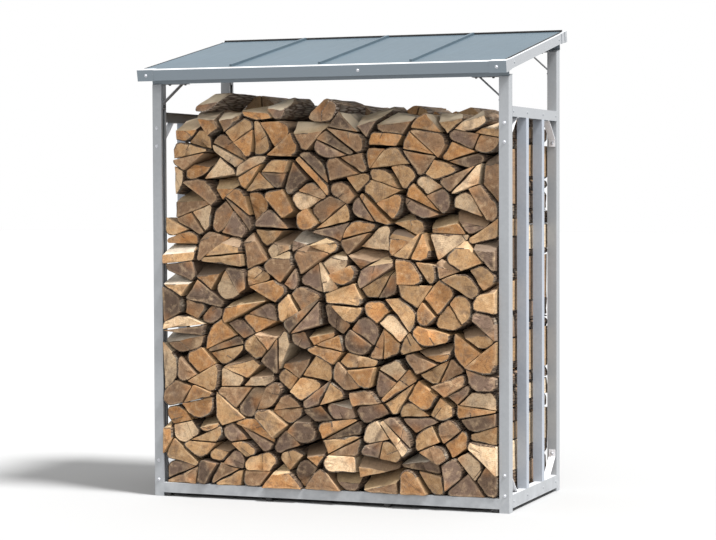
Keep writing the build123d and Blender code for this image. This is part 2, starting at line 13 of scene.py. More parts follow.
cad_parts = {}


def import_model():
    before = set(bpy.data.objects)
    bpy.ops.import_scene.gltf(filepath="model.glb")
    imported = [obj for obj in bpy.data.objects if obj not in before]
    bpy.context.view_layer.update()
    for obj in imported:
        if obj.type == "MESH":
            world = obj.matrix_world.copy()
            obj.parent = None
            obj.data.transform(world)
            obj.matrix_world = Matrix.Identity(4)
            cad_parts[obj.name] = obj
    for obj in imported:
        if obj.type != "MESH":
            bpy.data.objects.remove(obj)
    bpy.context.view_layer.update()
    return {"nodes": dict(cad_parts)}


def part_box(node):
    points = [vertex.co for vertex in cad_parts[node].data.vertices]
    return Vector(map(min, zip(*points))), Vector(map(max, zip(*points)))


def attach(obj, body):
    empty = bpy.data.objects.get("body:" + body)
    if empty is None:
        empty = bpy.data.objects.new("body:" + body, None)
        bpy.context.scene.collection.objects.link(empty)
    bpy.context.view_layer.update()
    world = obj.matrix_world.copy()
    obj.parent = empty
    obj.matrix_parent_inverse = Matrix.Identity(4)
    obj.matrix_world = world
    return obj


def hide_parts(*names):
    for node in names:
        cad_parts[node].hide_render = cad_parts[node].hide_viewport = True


LOG = logging.getLogger("log_store")
MM = 0.001
Colour = tuple[float, float, float]
Box = tuple[Vector, Vector]  # lowest and highest corner
Nodes = dict[str, bpy.types.Object]
Outputs = bpy.types.bpy_prop_collection
Socket = bpy.types.NodeSocket
SocketValue = Socket | float | tuple
Surface = dict[str, SocketValue]


class Slot(Enum):
    """The record's material slots."""

    FRAME = "frame_steel"
    SEAL = "seal_rubber"
    WOOD = "firewood"


class Face(Enum):
    """What a face of a piece of firewood is; the value is its material's place on the mesh."""

    END = 0
    SPLIT = 1
    BARK = 2


class Side(Enum):
    """The sides of the store, each by the way that it faces."""

    FRONT = (0.0, -1.0, 0.0)
    REAR = (0.0, 1.0, 0.0)
    LEFT = (-1.0, 0.0, 0.0)
    RIGHT = (1.0, 0.0, 0.0)
    DOWN = (0.0, 0.0, -1.0)

    @property
    def label(self) -> str:
        """The side's word in the names of nodes."""
        return self.name.lower()

    def vector(self) -> Vector:
        """The way that it faces as a vector."""
        return Vector(self.value)


# ------------------------------------------------------------------ shader trees


@dataclass(frozen=True)
class Noise:
    """Unevenness between 0 and 1, by its scale, its octaves and how strong the finer ones are."""

    scale: SocketValue = 1.0
    detail: float = 4.0
    rough: float = 0.55


@dataclass(frozen=True)
class Patches(Noise):
    """Noise whose patches set in at a low value and are full at a high one."""

    low: float = 0.45
    high: float = 0.7


@dataclass(frozen=True)
class Layer:
    """A colour, and how much of it shows where its mask is full."""

    colour: Colour | Socket
    share: float


class Tree:
    """A node tree with short calls that add a node and join its sockets."""

    SHARE, FIRST_COLOUR, SECOND_COLOUR, MIXED_COLOUR = 0, 6, 7, 2  # sockets of a Mix node

    def __init__(self, tree: bpy.types.NodeTree) -> None:
        """Keep the tree that nodes are added to."""
        self.tree = tree

    def join(self, node: bpy.types.Node, inputs: dict) -> None:
        """Feed a node.

        Args:
            node: The node that takes the inputs.
            inputs: A value or an output socket for each named or numbered input.
        """
        for name, value in inputs.items():
            if isinstance(value, bpy.types.NodeSocket):
                self.tree.links.new(value, node.inputs[name])
            else:
                node.inputs[name].default_value = value

    def add(self, kind: str, inputs: dict | None = None, **settings: object) -> bpy.types.Node:
        """Add one node.

        Args:
            kind: The node's type without the ShaderNode prefix.
            inputs: A value or an output socket for each named or numbered input.
            settings: Properties of the node itself.

        Returns:
            The new node.
        """
        prefix = "" if kind.startswith("NodeGroup") else "ShaderNode"
        node = self.tree.nodes.new(prefix + kind)
        for name, value in settings.items():
            setattr(node, name, value)
        self.join(node, inputs or {})
        return node

    def group(self, name: str, inputs: dict) -> Outputs:
        """Place a shared effect with its own values and return its outputs."""
        return self.add("Group", inputs, node_tree=bpy.data.node_groups[name]).outputs

    def place(self) -> Socket:
        """The place on the object, in metres."""
        return self.add("TexCoord").outputs["Object"]

    def normal(self) -> Socket:
        """The way that the surface faces."""
        return self.add("NewGeometry").outputs["Normal"]

    def axis(self, vector: Socket, name: str) -> Socket:
        """One of the three values of a vector."""
        return self.add("SeparateXYZ", {0: vector}).outputs[name]

    def combine(self, x: SocketValue, y: SocketValue, z: SocketValue) -> Socket:
        """A vector from its three values."""
        return self.add("CombineXYZ", {"X": x, "Y": y, "Z": z}).outputs[0]

    def scaled(self, vector: Socket, factor: SocketValue) -> Socket:
        """A vector or colour times one value."""
        return self.add("VectorMath", {0: vector, "Scale": factor}, operation="SCALE").outputs[0]

    def vector(self, operation: str, a: SocketValue, b: SocketValue = (0, 0, 0)) -> Socket:
        """Join two vectors with an operation and return the vector or value that it gives."""
        node = self.add("VectorMath", {0: a, 1: b}, operation=operation)
        return node.outputs["Value" if operation == "LENGTH" else "Vector"]

    def math(self, operation: str, a: SocketValue, b: SocketValue = 0.0) -> Socket:
        """Join two values with a math operation and return the result."""
        return self.add("Math", {0: a, 1: b}, operation=operation).outputs[0]

    def chain(self, operation: str, values: tuple[SocketValue, ...]) -> Socket:
        """Join values with one operation, each to the result of those before it.

        Args:
            operation: Blender's name for the math operation.
            values: Two or more values.

        Returns:
            The last result.
        """
        result = values[0]
        for value in values[1:]:
            result = self.math(operation, result, value)
        return result

    def times(self, *values: SocketValue) -> Socket:
        """The product of some values."""
        return self.chain("MULTIPLY", values)

    def plus(self, *values: SocketValue) -> Socket:
        """The sum of some values."""
        return self.chain("ADD", values)

    def line(self, value: Socket, rise: float, start: float) -> Socket:
        """A value times its rise, on top of a start."""
        return self.add("Math", {0: value, 1: rise, 2: start}, operation="MULTIPLY_ADD").outputs[0]

    def rest(self, share: Socket) -> Socket:
        """What a share leaves of one."""
        return self.math("SUBTRACT", 1.0, share)

    def steps(self, value: Socket, low: float, high: float) -> Socket:
        """A smooth step from 0 at the low value to 1 at the high one."""
        inputs = {0: value, 1: low, 2: high, 3: 0.0, 4: 1.0}
        return self.add("MapRange", inputs, interpolation_type="SMOOTHSTEP").outputs[0]

    def noise(self, place: Socket, kind: Noise, output: str = "Fac") -> Socket:
        """Noise at a place, as a value or with the output Color as a colour."""
        inputs = {"Scale": kind.scale, "Detail": kind.detail, "Roughness": kind.rough}
        return self.add("TexNoise", {"Vector": place, **inputs}).outputs[output]

    def patches(self, place: Socket, kind: Patches) -> Socket:
        """A mask of 1 in the patches at a place and 0 between them."""
        return self.steps(self.noise(place, kind), kind.low, kind.high)

    def mix(
        self, share: SocketValue, a: SocketValue, b: SocketValue, blend: str = "MIX"
    ) -> Socket:
        """Mix two colours.

        Args:
            share: How much of the second colour shows.
            a: First colour, as a socket or as red, green and blue.
            b: Second colour.
            blend: Blender's name for the way they are joined.

        Returns:
            The mixed colour.
        """
        inputs = {self.SHARE: share}
        for number, colour in ((self.FIRST_COLOUR, a), (self.SECOND_COLOUR, b)):
            plain = not isinstance(colour, bpy.types.NodeSocket)
            inputs[number] = (*colour, 1.0) if plain else colour
        node = self.add("Mix", inputs, data_type="RGBA", blend_type=blend, clamp_result=True)
        return node.outputs[self.MIXED_COLOUR]

    def layers(self, base: SocketValue, *layers: tuple[Socket, Layer]) -> Socket:
        """Lay colours over one another.

        Args:
            base: The lowest colour.
            layers: The mask of each layer, and the layer.

        Returns:
            The colour under all its layers.
        """
        for mask, layer in layers:
            base = self.mix(self.times(mask, layer.share), base, layer.colour)
        return base

    def bump(self, height: Socket, depth: float) -> Socket:
        """Raise the surface by a height between 0 and 1, to a depth in metres."""
        inputs = {"Height": height, "Distance": depth, "Strength": 1.0}
        return self.add("Bump", inputs).outputs[0]


def new_group(
    name: str, inputs: dict[str, float | tuple | None], outputs: tuple[str, ...]
) -> tuple[Tree, Outputs, bpy.types.Node]:
    """Start a shader node group.

    Args:
        name: The group's name.
        inputs: First value of each input: a value, a colour, or none for a vector.
        outputs: Name of each output, of which "Colour" is a colour and the others are values.

    Returns:
        The tree, the group input's sockets and the node that takes the outputs.
    """
    group = bpy.data.node_groups.new(name, "ShaderNodeTree")
    kinds = {type(None): "NodeSocketVector", tuple: "NodeSocketColor", float: "NodeSocketFloat"}
    for key, value in inputs.items():
        socket = group.interface.new_socket(key, in_out="INPUT", socket_type=kinds[type(value)])
        if value is not None:
            socket.default_value = value
    for key in outputs:
        kind = kinds[tuple if key == "Colour" else float]
        group.interface.new_socket(key, in_out="OUTPUT", socket_type=kind)
    tree = Tree(group)
    source = tree.add("NodeGroupInput")
    target = tree.add("NodeGroupOutput")
    return tree, source.outputs, target


@dataclass(frozen=True)
class SharedEffects:
    """Node groups that more than one finish uses."""

    UNEVEN = "Uneven Colour"
    DUST = "Ground Dust"
    FIBRES = "Wood Fibres"
    RINGS = "Growth Rings"

    splashes: Patches = Patches(22.0, 6.0, low=0.3, high=0.8)
    splash_share: float = 0.5
    settling: tuple[float, float] = (0.6, 0.95)  # Z of the normal, from no painted highlight to full
    waver: Noise = Noise(9.0, 2.0, 0.5)
    fine_fibres: Noise = Noise(1.0, 5.0, 0.6)
    coarse_fibres: Noise = Noise(0.22, 3.0)  # beside the fine ones
    fibre_mask: tuple[float, float] = (0.34, 0.66)
    wobble: Noise = Noise(26.0, 3.0)
    wobble_width: float = 16.0 * MM
    heart: tuple[float, float] = (12.0 * MM, 62.0 * MM)  # radius, from full to none
    spokes: float = 3.4
    spoke_drift: float = 6.0
    cracks: Noise = Noise(1.6, 2.0)
    crack_width: float = 0.011
    crack_start: tuple[float, float] = (4.0 * MM, 20.0 * MM)
    saw_marks: Noise = Noise(1.0, 2.0)
    saw_stretch: tuple[float, float, float] = (420.0, 1.0, 30.0)

    def build(self) -> None:
        """Make every group once."""
        self._uneven()
        self._dust()
        self._fibres()
        self._rings()

    def _uneven(self) -> None:
        """Broad and fine changes of lightness over a surface."""
        grey = (0.5, 0.5, 0.5, 1.0)
        inputs = {"Vector": None, "Colour": grey, "Broad Scale": 3.0, "Fine Scale": 60.0, "Amount": 0.1}
        tree, given, target = new_group(self.UNEVEN, inputs, ("Colour", "Mask"))
        scales = given["Broad Scale"], given["Fine Scale"]
        place = given["Vector"]
        joined = tree.plus(*(tree.noise(place, Noise(scale, 2.0, 0.5)) for scale in scales))
        centred = tree.math("SUBTRACT", joined, 1.0)
        factor = tree.plus(tree.times(centred, given["Amount"]), 1.0)
        colour = tree.scaled(given["Colour"], factor)
        tree.join(target, {"Colour": colour, "Mask": tree.times(joined, 0.5)})

    def _dust(self) -> None:
        """Paler on upward faces as painted highlight, and dust that splashes up from the ground."""
        inputs = {"Vector": None, "Normal": None, "Height": 0.25, "Amount": 0.5}
        tree, given, target = new_group(self.DUST, inputs, ("Mask",))
        height = tree.math("DIVIDE", tree.axis(given["Vector"], "Z"), given["Height"])
        low = tree.math("MAXIMUM", tree.rest(height), 0.0)
        splashed = tree.times(low, tree.patches(given["Vector"], self.splashes), self.splash_share)
        # painted highlight: upward faces turn paler
        painted_highlight = tree.steps(tree.axis(given["Normal"], "Z"), *self.settling)
        mask = tree.math("MAXIMUM", splashed, painted_highlight)
        tree.join(target, {"Mask": tree.times(mask, given["Amount"])})

    def _fibres(self) -> None:
        """Fibres that run along a piece of wood, on Y."""
        inputs = {"Vector": None, "Across": 160.0, "Along": 6.0, "Waver": 0.012}
        tree, given, target = new_group(self.FIBRES, inputs, ("Mask", "Height"))
        wander = tree.noise(given["Vector"], self.waver, "Color")
        offset = tree.vector("SUBTRACT", wander, (0.5, 0.5, 0.5))
        place = tree.vector("ADD", given["Vector"], tree.scaled(offset, given["Waver"]))
        stretch = tree.combine(given["Across"], given["Along"], given["Across"])
        long_place = tree.vector("MULTIPLY", place, stretch)
        both = self.fine_fibres, self.coarse_fibres
        height = tree.plus(*(tree.times(tree.noise(long_place, kind), 0.5) for kind in both))
        tree.join(target, {"Mask": tree.steps(height, *self.fibre_mask), "Height": height})

    def _rings(self) -> None:
        """Growth rings and radial checks round the heart of a log, in the X and Z of a place."""
        inputs = {"Vector": None, "Seed": 0.0, "Spacing": 0.0055, "Checks": 0.6}
        tree, given, target = new_group(self.RINGS, inputs, ("Rings", "Heart", "Cracks", "Saw"))
        seed = given["Seed"]
        x, z = (tree.axis(given["Vector"], name) for name in "XZ")
        flat = tree.combine(x, seed, z)
        distance = tree.vector("LENGTH", tree.combine(x, 0.0, z))
        wander = tree.math("SUBTRACT", tree.noise(flat, self.wobble), 0.5)
        radius = tree.plus(distance, tree.times(wander, self.wobble_width))
        turns = tree.math("DIVIDE", radius, given["Spacing"])
        angle = tree.times(tree.math("ARCTAN2", z, x), self.spokes)
        spoke = tree.combine(angle, seed, tree.times(distance, self.spoke_drift))
        ridge = tree.math("SUBTRACT", tree.noise(spoke, self.cracks), 0.5)
        thin = tree.rest(tree.steps(tree.math("ABSOLUTE", ridge), 0.0, self.crack_width))
        reach = tree.steps(distance, *self.crack_start)
        turned = tree.add("VectorRotate", {"Vector": flat, "Angle": seed}, rotation_type="Y_AXIS")
        marks = tree.vector("MULTIPLY", turned.outputs[0], self.saw_stretch)
        results = {
            "Rings": tree.line(tree.math("SINE", tree.times(turns, math.tau)), 0.5, 0.5),
            "Heart": tree.rest(tree.steps(radius, *self.heart)),
            "Cracks": tree.times(thin, reach, given["Checks"]),
            "Saw": tree.noise(marks, self.saw_marks),
        }
        tree.join(target, results)


@dataclass(frozen=True)
class Finish:
    """A named surface; the classes below give each its own colours and texture.

    Roughness is given there as its rise with a mask, and its value where the mask is 0.
    """

    name: str

    def build(self) -> bpy.types.Material:
        """Make the material, or find it where another piece has it already.

        Returns:
            The finished material.
        """
        if self.name in bpy.data.materials:
            return bpy.data.materials[self.name]
        material = bpy.data.materials.new(self.name)
        material.use_nodes = True
        material.node_tree.nodes.clear()
        tree = Tree(material.node_tree)
        shader = tree.add("BsdfPrincipled")
        tree.add("OutputMaterial", {"Surface": shader.outputs[0]}, target="ALL")
        tree.join(shader, self.surface(tree))
        return material

    def surface(self, tree: Tree) -> Surface:
        """Add the finish's own nodes to its tree and return what feeds the shader's inputs."""
        return {}


@dataclass(frozen=True)
class Coat(Finish):
    """A coat on metal with broad and fine changes of lightness."""

    colour: Colour = (0.5, 0.5, 0.5)
    broad: float = 3.0
    fine: float = 60.0
    amount: float = 0.1

    def uneven(self, tree: Tree, place: Socket) -> Outputs:
        """Lay the coat's colour unevenly.

        Args:
            tree: The material's tree.
            place: The place on the object.

        Returns:
            The outputs Colour and Mask of the shared effect.
        """
        inputs = {
            "Vector": place,
            "Colour": (*self.colour, 1.0),
            "Broad Scale": self.broad,
            "Fine Scale": self.fine,
            "Amount": self.amount,
        }
        return tree.group(SharedEffects.UNEVEN, inputs)


@dataclass(frozen=True)
class PowderCoat(Coat):
    """Satin paint baked on folded steel, with painted highlight on top and painted shade where it faces
    down.
    """

    colour: Colour = (0.252, 0.262, 0.274)
    broad: float = 2.6
    fine: float = 75.0
    amount: float = 0.16
    # painted shade: the darker colour of faces that turn down
    sheltered: Colour = (0.150, 0.180, 0.205)
    shelter: tuple[float, float] = (-0.19, -0.05)  # Z of the normal, from full painted shade to none
    # pale colour of the painted highlight on upward faces and of the dust near the ground
    chalk: Colour = (0.50, 0.51, 0.52)
    chalk_height: float = 160.0 * MM  # that splashes reach
    chalk_share: float = 0.8
    chalk_roughness: float = 0.3
    roughness: tuple[float, float] = (0.16, 0.34)
    dents: Noise = Noise(14.0, 2.0)
    peel: Noise = Noise(900.0, 2.0)
    peel_share: float = 0.06  # of the dents' depth
    relief: float = 1.1 * MM

    def surface(self, tree: Tree) -> Surface:
        """Slightly uneven paint with a fine orange-peel skin, painted highlight on upward faces, dust
        splashed near the ground and painted shade on faces that turn down.

        Args:
            tree: The material's tree.

        Returns:
            What feeds each input of the shader.
        """
        place, normal = tree.place(), tree.normal()
        uneven = self.uneven(tree, place)
        inputs = {"Vector": place, "Normal": normal}
        inputs |= {"Height": self.chalk_height, "Amount": self.chalk_share}
        # painted highlight on upward faces, and dust splashed near the ground
        highlight_and_dust_mask = tree.group(SharedEffects.DUST, inputs)["Mask"]
        # painted shade where the surface faces down
        unshaded = tree.steps(tree.axis(normal, "Z"), *self.shelter)
        colour = tree.mix(unshaded, self.sheltered, uneven["Colour"])
        rough = tree.line(uneven["Mask"], *self.roughness)
        peel = tree.times(tree.noise(place, self.peel), self.peel_share)
        height = tree.plus(peel, tree.noise(place, self.dents))
        return {
            "Base Color": tree.mix(highlight_and_dust_mask, colour, self.chalk),
            "Roughness": tree.plus(rough, tree.times(highlight_and_dust_mask, self.chalk_roughness)),
            "Normal": tree.bump(height, self.relief),
        }


@dataclass(frozen=True)
class RoofPaint(Coat):
    """Thin painted sheet that lies slightly wavy and carries faint rain marks down its slope."""

    colour: Colour = (0.053, 0.082, 0.104)
    broad: float = 2.4
    fine: float = 30.0
    amount: float = 0.22
    marks: Layer = Layer((0.078, 0.106, 0.122), 0.3)
    runs: Noise = Noise(1.0, 5.0, 0.6)
    run_stretch: tuple[float, float, float] = (30.0, 1.6, 1.0)
    run_mask: tuple[float, float] = (0.48, 0.75)
    roughness: tuple[float, float] = (0.12, 0.44)
    waves: Noise = Noise(1.0, 2.0)
    wave_stretch: tuple[float, float, float] = (5.0, 2.5, 1.0)
    peel: Noise = Noise(700.0, 2.0)
    peel_share: float = 0.01  # of the waves' depth
    relief: float = 3.0 * MM

    def surface(self, tree: Tree) -> Surface:
        """Blue-grey paint, rain marks and the long waves of thin sheet.

        Args:
            tree: The material's tree.

        Returns:
            What feeds each input of the shader.
        """
        place = tree.place()
        colour = self.uneven(tree, place)["Colour"]
        runs = tree.noise(tree.vector("MULTIPLY", place, self.run_stretch), self.runs)
        waves = tree.noise(tree.vector("MULTIPLY", place, self.wave_stretch), self.waves)
        height = tree.plus(waves, tree.times(tree.noise(place, self.peel), self.peel_share))
        return {
            "Base Color": tree.layers(colour, (tree.steps(runs, *self.run_mask), self.marks)),
            "Roughness": tree.line(runs, *self.roughness),
            "Normal": tree.bump(height, self.relief),
        }


@dataclass(frozen=True)
class Rubber(Finish):
    """Black rubber with a dusty bloom."""

    colour: Colour = (0.012, 0.012, 0.013)
    bloom: Colour = (0.05, 0.047, 0.043)
    dust: Patches = Patches(130.0, 5.0)
    roughness: tuple[float, float] = (0.15, 0.72)
    grain: Noise = Noise(1100.0, 3.0)
    relief: float = 0.2 * MM

    def surface(self, tree: Tree) -> Surface:
        """Near-black, matt, and paler where dust has settled.

        Args:
            tree: The material's tree.

        Returns:
            What feeds each input of the shader.
        """
        place = tree.place()
        dusty = tree.patches(place, self.dust)
        return {
            "Base Color": tree.mix(dusty, self.colour, self.bloom),
            "Roughness": tree.line(dusty, *self.roughness),
            "Normal": tree.bump(tree.noise(place, self.grain), self.relief),
        }


@dataclass(frozen=True)
class ZincPlate(Coat):
    """Cloudy zinc on pressed bolt heads and brackets."""

    colour: Colour = (0.50, 0.51, 0.54)
    broad: float = 90.0
    fine: float = 900.0
    amount: float = 0.3
    metal: float = 0.55
    roughness: tuple[float, float] = (0.25, 0.28)

    def surface(self, tree: Tree) -> Surface:
        """Metal with cloudy zinc and fine scratches.

        Args:
            tree: The material's tree.

        Returns:
            What feeds each input of the shader.
        """
        uneven = self.uneven(tree, tree.place())
        rough = tree.line(uneven["Mask"], *self.roughness)
        return {"Base Color": uneven["Colour"], "Metallic": self.metal, "Roughness": rough}


@dataclass(frozen=True)
class WoodFinish(Finish):
    """What the three faces of a log share: its own colour and the place round its heart."""

    crown: tuple[float, float] = (1.6, 1.7)  # height at which the painted light sets in and is full
    upward: tuple[float, float] = (0.1, 0.7)  # and Z of the normal
    faded: Patches = Patches(6.0, 2.0, low=0.44, high=0.58)
    least_faded: float = 0.3  # between the patches

    def attributes(self, tree: Tree) -> tuple[Socket, Socket, Socket]:
        """Read what each log carries on its mesh.

        Args:
            tree: The material's tree.

        Returns:
            The log's colour, the place from its heart, and how far a point is from its rim.
        """
        colour = tree.add("Attribute", attribute_name=Log.COLOUR).outputs["Color"]
        place = tree.add("Attribute", attribute_name=Log.PLACE).outputs["Vector"]
        inside = tree.add("Attribute", attribute_name=Log.INSIDE).outputs["Fac"]
        return colour, place, inside

    def bleach(self, tree: Tree, colour: Socket, pale: Layer) -> Socket:
        """Paint light into a colour where the crown of the stack faces up, against the shade that the
        roof casts there.

        Args:
            tree: The material's tree.
            colour: The wood's colour.
            pale: The painted light colour that it turns to.

        Returns:
            The colour with painted light.
        """
        here = tree.place()
        # painted light: upward faces at the crown turn paler in patches
        level = tree.steps(tree.axis(tree.normal(), "Z"), *self.upward)
        high = tree.steps(tree.axis(here, "Z"), *self.crown)
        patches = tree.line(tree.patches(here, self.faded), 1.0 - self.least_faded, self.least_faded)
        return tree.layers(colour, (tree.times(level, high, patches), pale))


@dataclass(frozen=True)
class EndGrain(WoodFinish):
    """Sawn end of a log: rings, an orange heart, pale sapwood, weathered patches and checks."""

    heart: Layer = Layer((0.40, 0.17, 0.045), 0.55)
    sapwood: Layer = Layer((0.60, 0.43, 0.255), 0.4)
    fresh: Patches = Patches(31.0, 3.0, 0.6, low=0.48)  # of the sapwood
    # pale rim along every side of the end: sapwood colour near the bark, and painted highlight along
    # the edges
    rim: tuple[float, float] = (4.0 * MM, 16.0 * MM)
    rim_share: float = 0.2
    weathered: Layer = Layer((0.155, 0.10, 0.066), 0.55)
    weather: Patches = Patches(19.0, rough=0.65, low=0.47, high=0.68)
    darkness: float = 0.6
    stain: Patches = Patches(55.0, 5.0, 0.7)
    stain_share: float = 0.75
    ring_spacing: float = 8.0 * MM
    ring_share: float = 0.3
    grime: Layer = Layer((0.10, 0.06, 0.036), 0.45)
    specks: Patches = Patches(130.0, rough=0.65, low=0.5, high=0.72)
    crack: Layer = Layer((0.055, 0.03, 0.018), 1.0)
    checks: float = 0.3
    roughness: tuple[float, float] = (0.12, 0.74)
    hollows: Noise = Noise(45.0)
    saw_height: float = 0.5
    ring_height: float = 0.12
    crack_height: float = -0.8
    relief: float = 2.6 * MM

    def surface(self, tree: Tree) -> Surface:
        """Colour the end grain from the log's own colour.

        Args:
            tree: The material's tree.

        Returns:
            What feeds each input of the shader.
        """
        colour, place, inside = self.attributes(tree)
        here = tree.place()
        inputs = {"Vector": place, "Seed": tree.axis(place, "Y")}
        inputs |= {"Spacing": self.ring_spacing, "Checks": self.checks}
        rings = tree.group(SharedEffects.RINGS, inputs)
        outside = tree.rest(rings["Heart"])
        edge = tree.rest(tree.steps(inside, *self.rim))
        stain = tree.patches(here, self.stain)
        base = tree.layers(
            colour,
            (rings["Heart"], self.heart),
            (tree.times(tree.patches(here, self.fresh), outside), self.sapwood),
            (tree.patches(place, self.weather), self.weathered),
            # pale rim: sapwood near the bark, and painted highlight along every edge
            (edge, Layer(self.sapwood.colour, self.rim_share)),
        )
        darker = tree.mix(self.darkness, base, base, "MULTIPLY")
        base = tree.layers(
            base,
            (stain, Layer(darker, self.stain_share)),
            (rings["Rings"], Layer(darker, self.ring_share)),
            (tree.patches(here, self.specks), self.grime),
            (rings["Cracks"], self.crack),
        )
        height = tree.plus(
            tree.times(rings["Saw"], self.saw_height),
            tree.times(rings["Rings"], self.ring_height),
            tree.times(rings["Cracks"], self.crack_height),
            tree.noise(here, self.hollows),
        )
        return {
            "Base Color": base,
            "Roughness": tree.line(stain, *self.roughness),
            "Normal": tree.bump(height, self.relief),
        }


@dataclass(frozen=True)
class SplitGrain(WoodFinish):
    """Face torn open along the grain."""

    shade: Layer = Layer((0.10, 0.062, 0.038), 0.35)
    weather: Patches = Patches(11.0, low=0.42, high=0.72)
    weather_share: float = 0.3
    # painted light that upward split faces at the crown turn to
    pale: Layer = Layer((0.97, 0.80, 0.58), 0.85)
    roughness: tuple[float, float] = (0.15, 0.68)
    relief: float = 6.0 * MM

    def surface(self, tree: Tree) -> Surface:
        """Colour the long fibres of a split face.

        Args:
            tree: The material's tree.

        Returns:
            What feeds each input of the shader.
        """
        colour, place, _ = self.attributes(tree)
        fibres = tree.group(SharedEffects.FIBRES, {"Vector": place})
        weathered = Layer(self.shade.colour, self.weather_share)
        patches = tree.patches(place, self.weather)
        base = tree.layers(colour, (fibres["Mask"], self.shade), (patches, weathered))
        return {
            # painted light at the crown over the split face's colour
            "Base Color": self.bleach(tree, base, self.pale),
            "Roughness": tree.line(fibres["Mask"], *self.roughness),
            "Normal": tree.bump(fibres["Height"], self.relief),
        }


@dataclass(frozen=True)
class BarkSkin(WoodFinish):
    """Bark in long shallow ridges, greyer where lichen sits."""

    across: float = 110.0
    along: float = 12.0
    waver: float = 20.0 * MM
    plate_stretch: tuple[float, float, float] = (85.0, 9.0, 85.0)
    furrow: tuple[float, float] = (0.0, 0.3)
    dark: Layer = Layer((0.06, 0.035, 0.02), 0.6)
    light: Layer = Layer((0.21, 0.14, 0.085), 1.0)
    lichen: Layer = Layer((0.26, 0.225, 0.175), 0.5)
    lichen_patches: Patches = Patches(18.0, 5.0, low=0.5, high=0.66)
    silver: Layer = Layer((0.47, 0.40, 0.34), 0.75)  # painted light on ridges of bark at the top of the stack
    driest: tuple[float, float] = (1.69, 1.75)
    # painted light that upward bark at the crown turns to
    pale: Layer = Layer((0.72, 0.49, 0.31), 0.62)
    roughness: tuple[float, float] = (-0.08, 0.92)
    relief: float = 6.0 * MM

    def surface(self, tree: Tree) -> Surface:
        """Dark furrows between ridges that run along the log.

        Args:
            tree: The material's tree.

        Returns:
            What feeds each input of the shader.
        """
        _, place, _ = self.attributes(tree)
        inputs = {"Vector": place, "Across": self.across, "Along": self.along, "Waver": self.waver}
        fibres = tree.group(SharedEffects.FIBRES, inputs)
        plates = {"Vector": tree.vector("MULTIPLY", place, self.plate_stretch), "Scale": 1.0}
        edge = tree.add("TexVoronoi", plates, feature="DISTANCE_TO_EDGE").outputs["Distance"]
        ridge = tree.steps(edge, *self.furrow)
        driest = tree.steps(tree.axis(tree.place(), "Z"), *self.driest)
        base = tree.layers(
            self.dark.colour,
            (ridge, self.light),
            (fibres["Mask"], self.dark),
            (tree.patches(place, self.lichen_patches), self.lichen),
            # painted light on the bark ridges at the top of the stack
            (tree.times(driest, ridge), self.silver),
        )
        height = tree.plus(tree.times(ridge, 0.5), fibres["Height"])
        return {
            "Base Color": self.bleach(tree, base, self.pale),
            "Roughness": tree.line(ridge, *self.roughness),
            "Normal": tree.bump(height, self.relief),
        }


@dataclass(frozen=True)
class PaleFloor(Finish):
    """Plain pale floor."""

    colour: Colour = (0.345, 0.345, 0.345)
    roughness: float = 0.9

    def surface(self, tree: Tree) -> Surface:
        """One even matt tone."""
        inputs = {"Base Color": (*self.colour, 1.0), "Roughness": self.roughness}
        return inputs | {"Specular IOR Level": 0.0}


# ------------------------------------------------------------------ pieces


def finished(shape: bmesh.types.BMesh, name: str) -> bpy.types.Mesh:
    """Turn a shape into a mesh.

    Args:
        shape: The finished shape, which is freed here.
        name: The mesh's name.

    Returns:
        The new mesh.
    """
    mesh = bpy.data.meshes.new(name)
    shape.to_mesh(mesh)
    shape.free()
    return mesh


def link(name: str, data: bpy.types.ID) -> bpy.types.Object:
    """Put a mesh, a lamp or a camera into the scene.

    Args:
        name: The object's name.
        data: What the object shows.

    Returns:
        The new object.
    """
    thing = bpy.data.objects.new(name, data)
    bpy.context.scene.collection.objects.link(thing)
    return thing


def mount(
    shape: bmesh.types.BMesh, name: str, materials: list[bpy.types.Material]
) -> bpy.types.Object:
    """Turn a finished shape into a piece that rides on the frame.

    Args:
        shape: The shape in metres, in place; it is freed here.
        name: The piece's name.
        materials: Materials in the order that the faces name them.

    Returns:
        The new object.
    """
    mesh = finished(shape, name)
    for material in materials:
        mesh.materials.append(material)
    piece = link(name, mesh)
    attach(piece, "root")
    return piece


def add_box(
    shape: bmesh.types.BMesh, size: Vector, place: Vector, lean: float = 0.0, soften: float = 0.0
) -> None:
    """Add a block to a shape.

    Args:
        shape: The shape that takes it.
        size: Its size along X, Y and Z before it leans.
        place: Its middle.
        lean: Its turn about X in radians, which raises its rear.
        soften: Width of the bevel on its edges, or none.
    """
    turn = Matrix.Rotation(lean, 4, "X")
    matrix = Matrix.Translation(place) @ turn @ Matrix.Diagonal((*size, 1.0))
    verts = bmesh.ops.create_cube(shape, size=1.0, matrix=matrix)["verts"]
    if soften:
        edges = list(dict.fromkeys(edge for vert in verts for edge in vert.link_edges))
        bmesh.ops.bevel(
            shape, geom=edges, offset=soften, affect="EDGES", segments=1, profile=0.5, material=-1
        )


def middle(box: Box) -> Vector:
    """The middle of a box."""
    return (box[0] + box[1]) / 2


def outer_x(box: Box, side: Side) -> float:
    """The X of a box's outer face, on the left or the right side of the store."""
    return box[0].x if side is Side.LEFT else box[1].x


POWDER_COAT = PowderCoat("powder_coat")
# painted light: a paler, bluer copy of the powder coat on the slats
SLAT_COAT_PAINTED_LIGHT = PowderCoat("slat_coat_painted_light", colour=(0.27, 0.295, 0.335))
ROOF_PAINT = RoofPaint("roof_paint")
RUBBER = Rubber("rubber")
ZINC = ZincPlate("zinc_plate")
# painted shade: a dark copy of the zinc for the knee braces and their legs under the roof
KNEE_ZINC_PAINTED_SHADE = ZincPlate("knee_brace_zinc_painted_shade", colour=(0.17, 0.175, 0.185), metal=0.6)
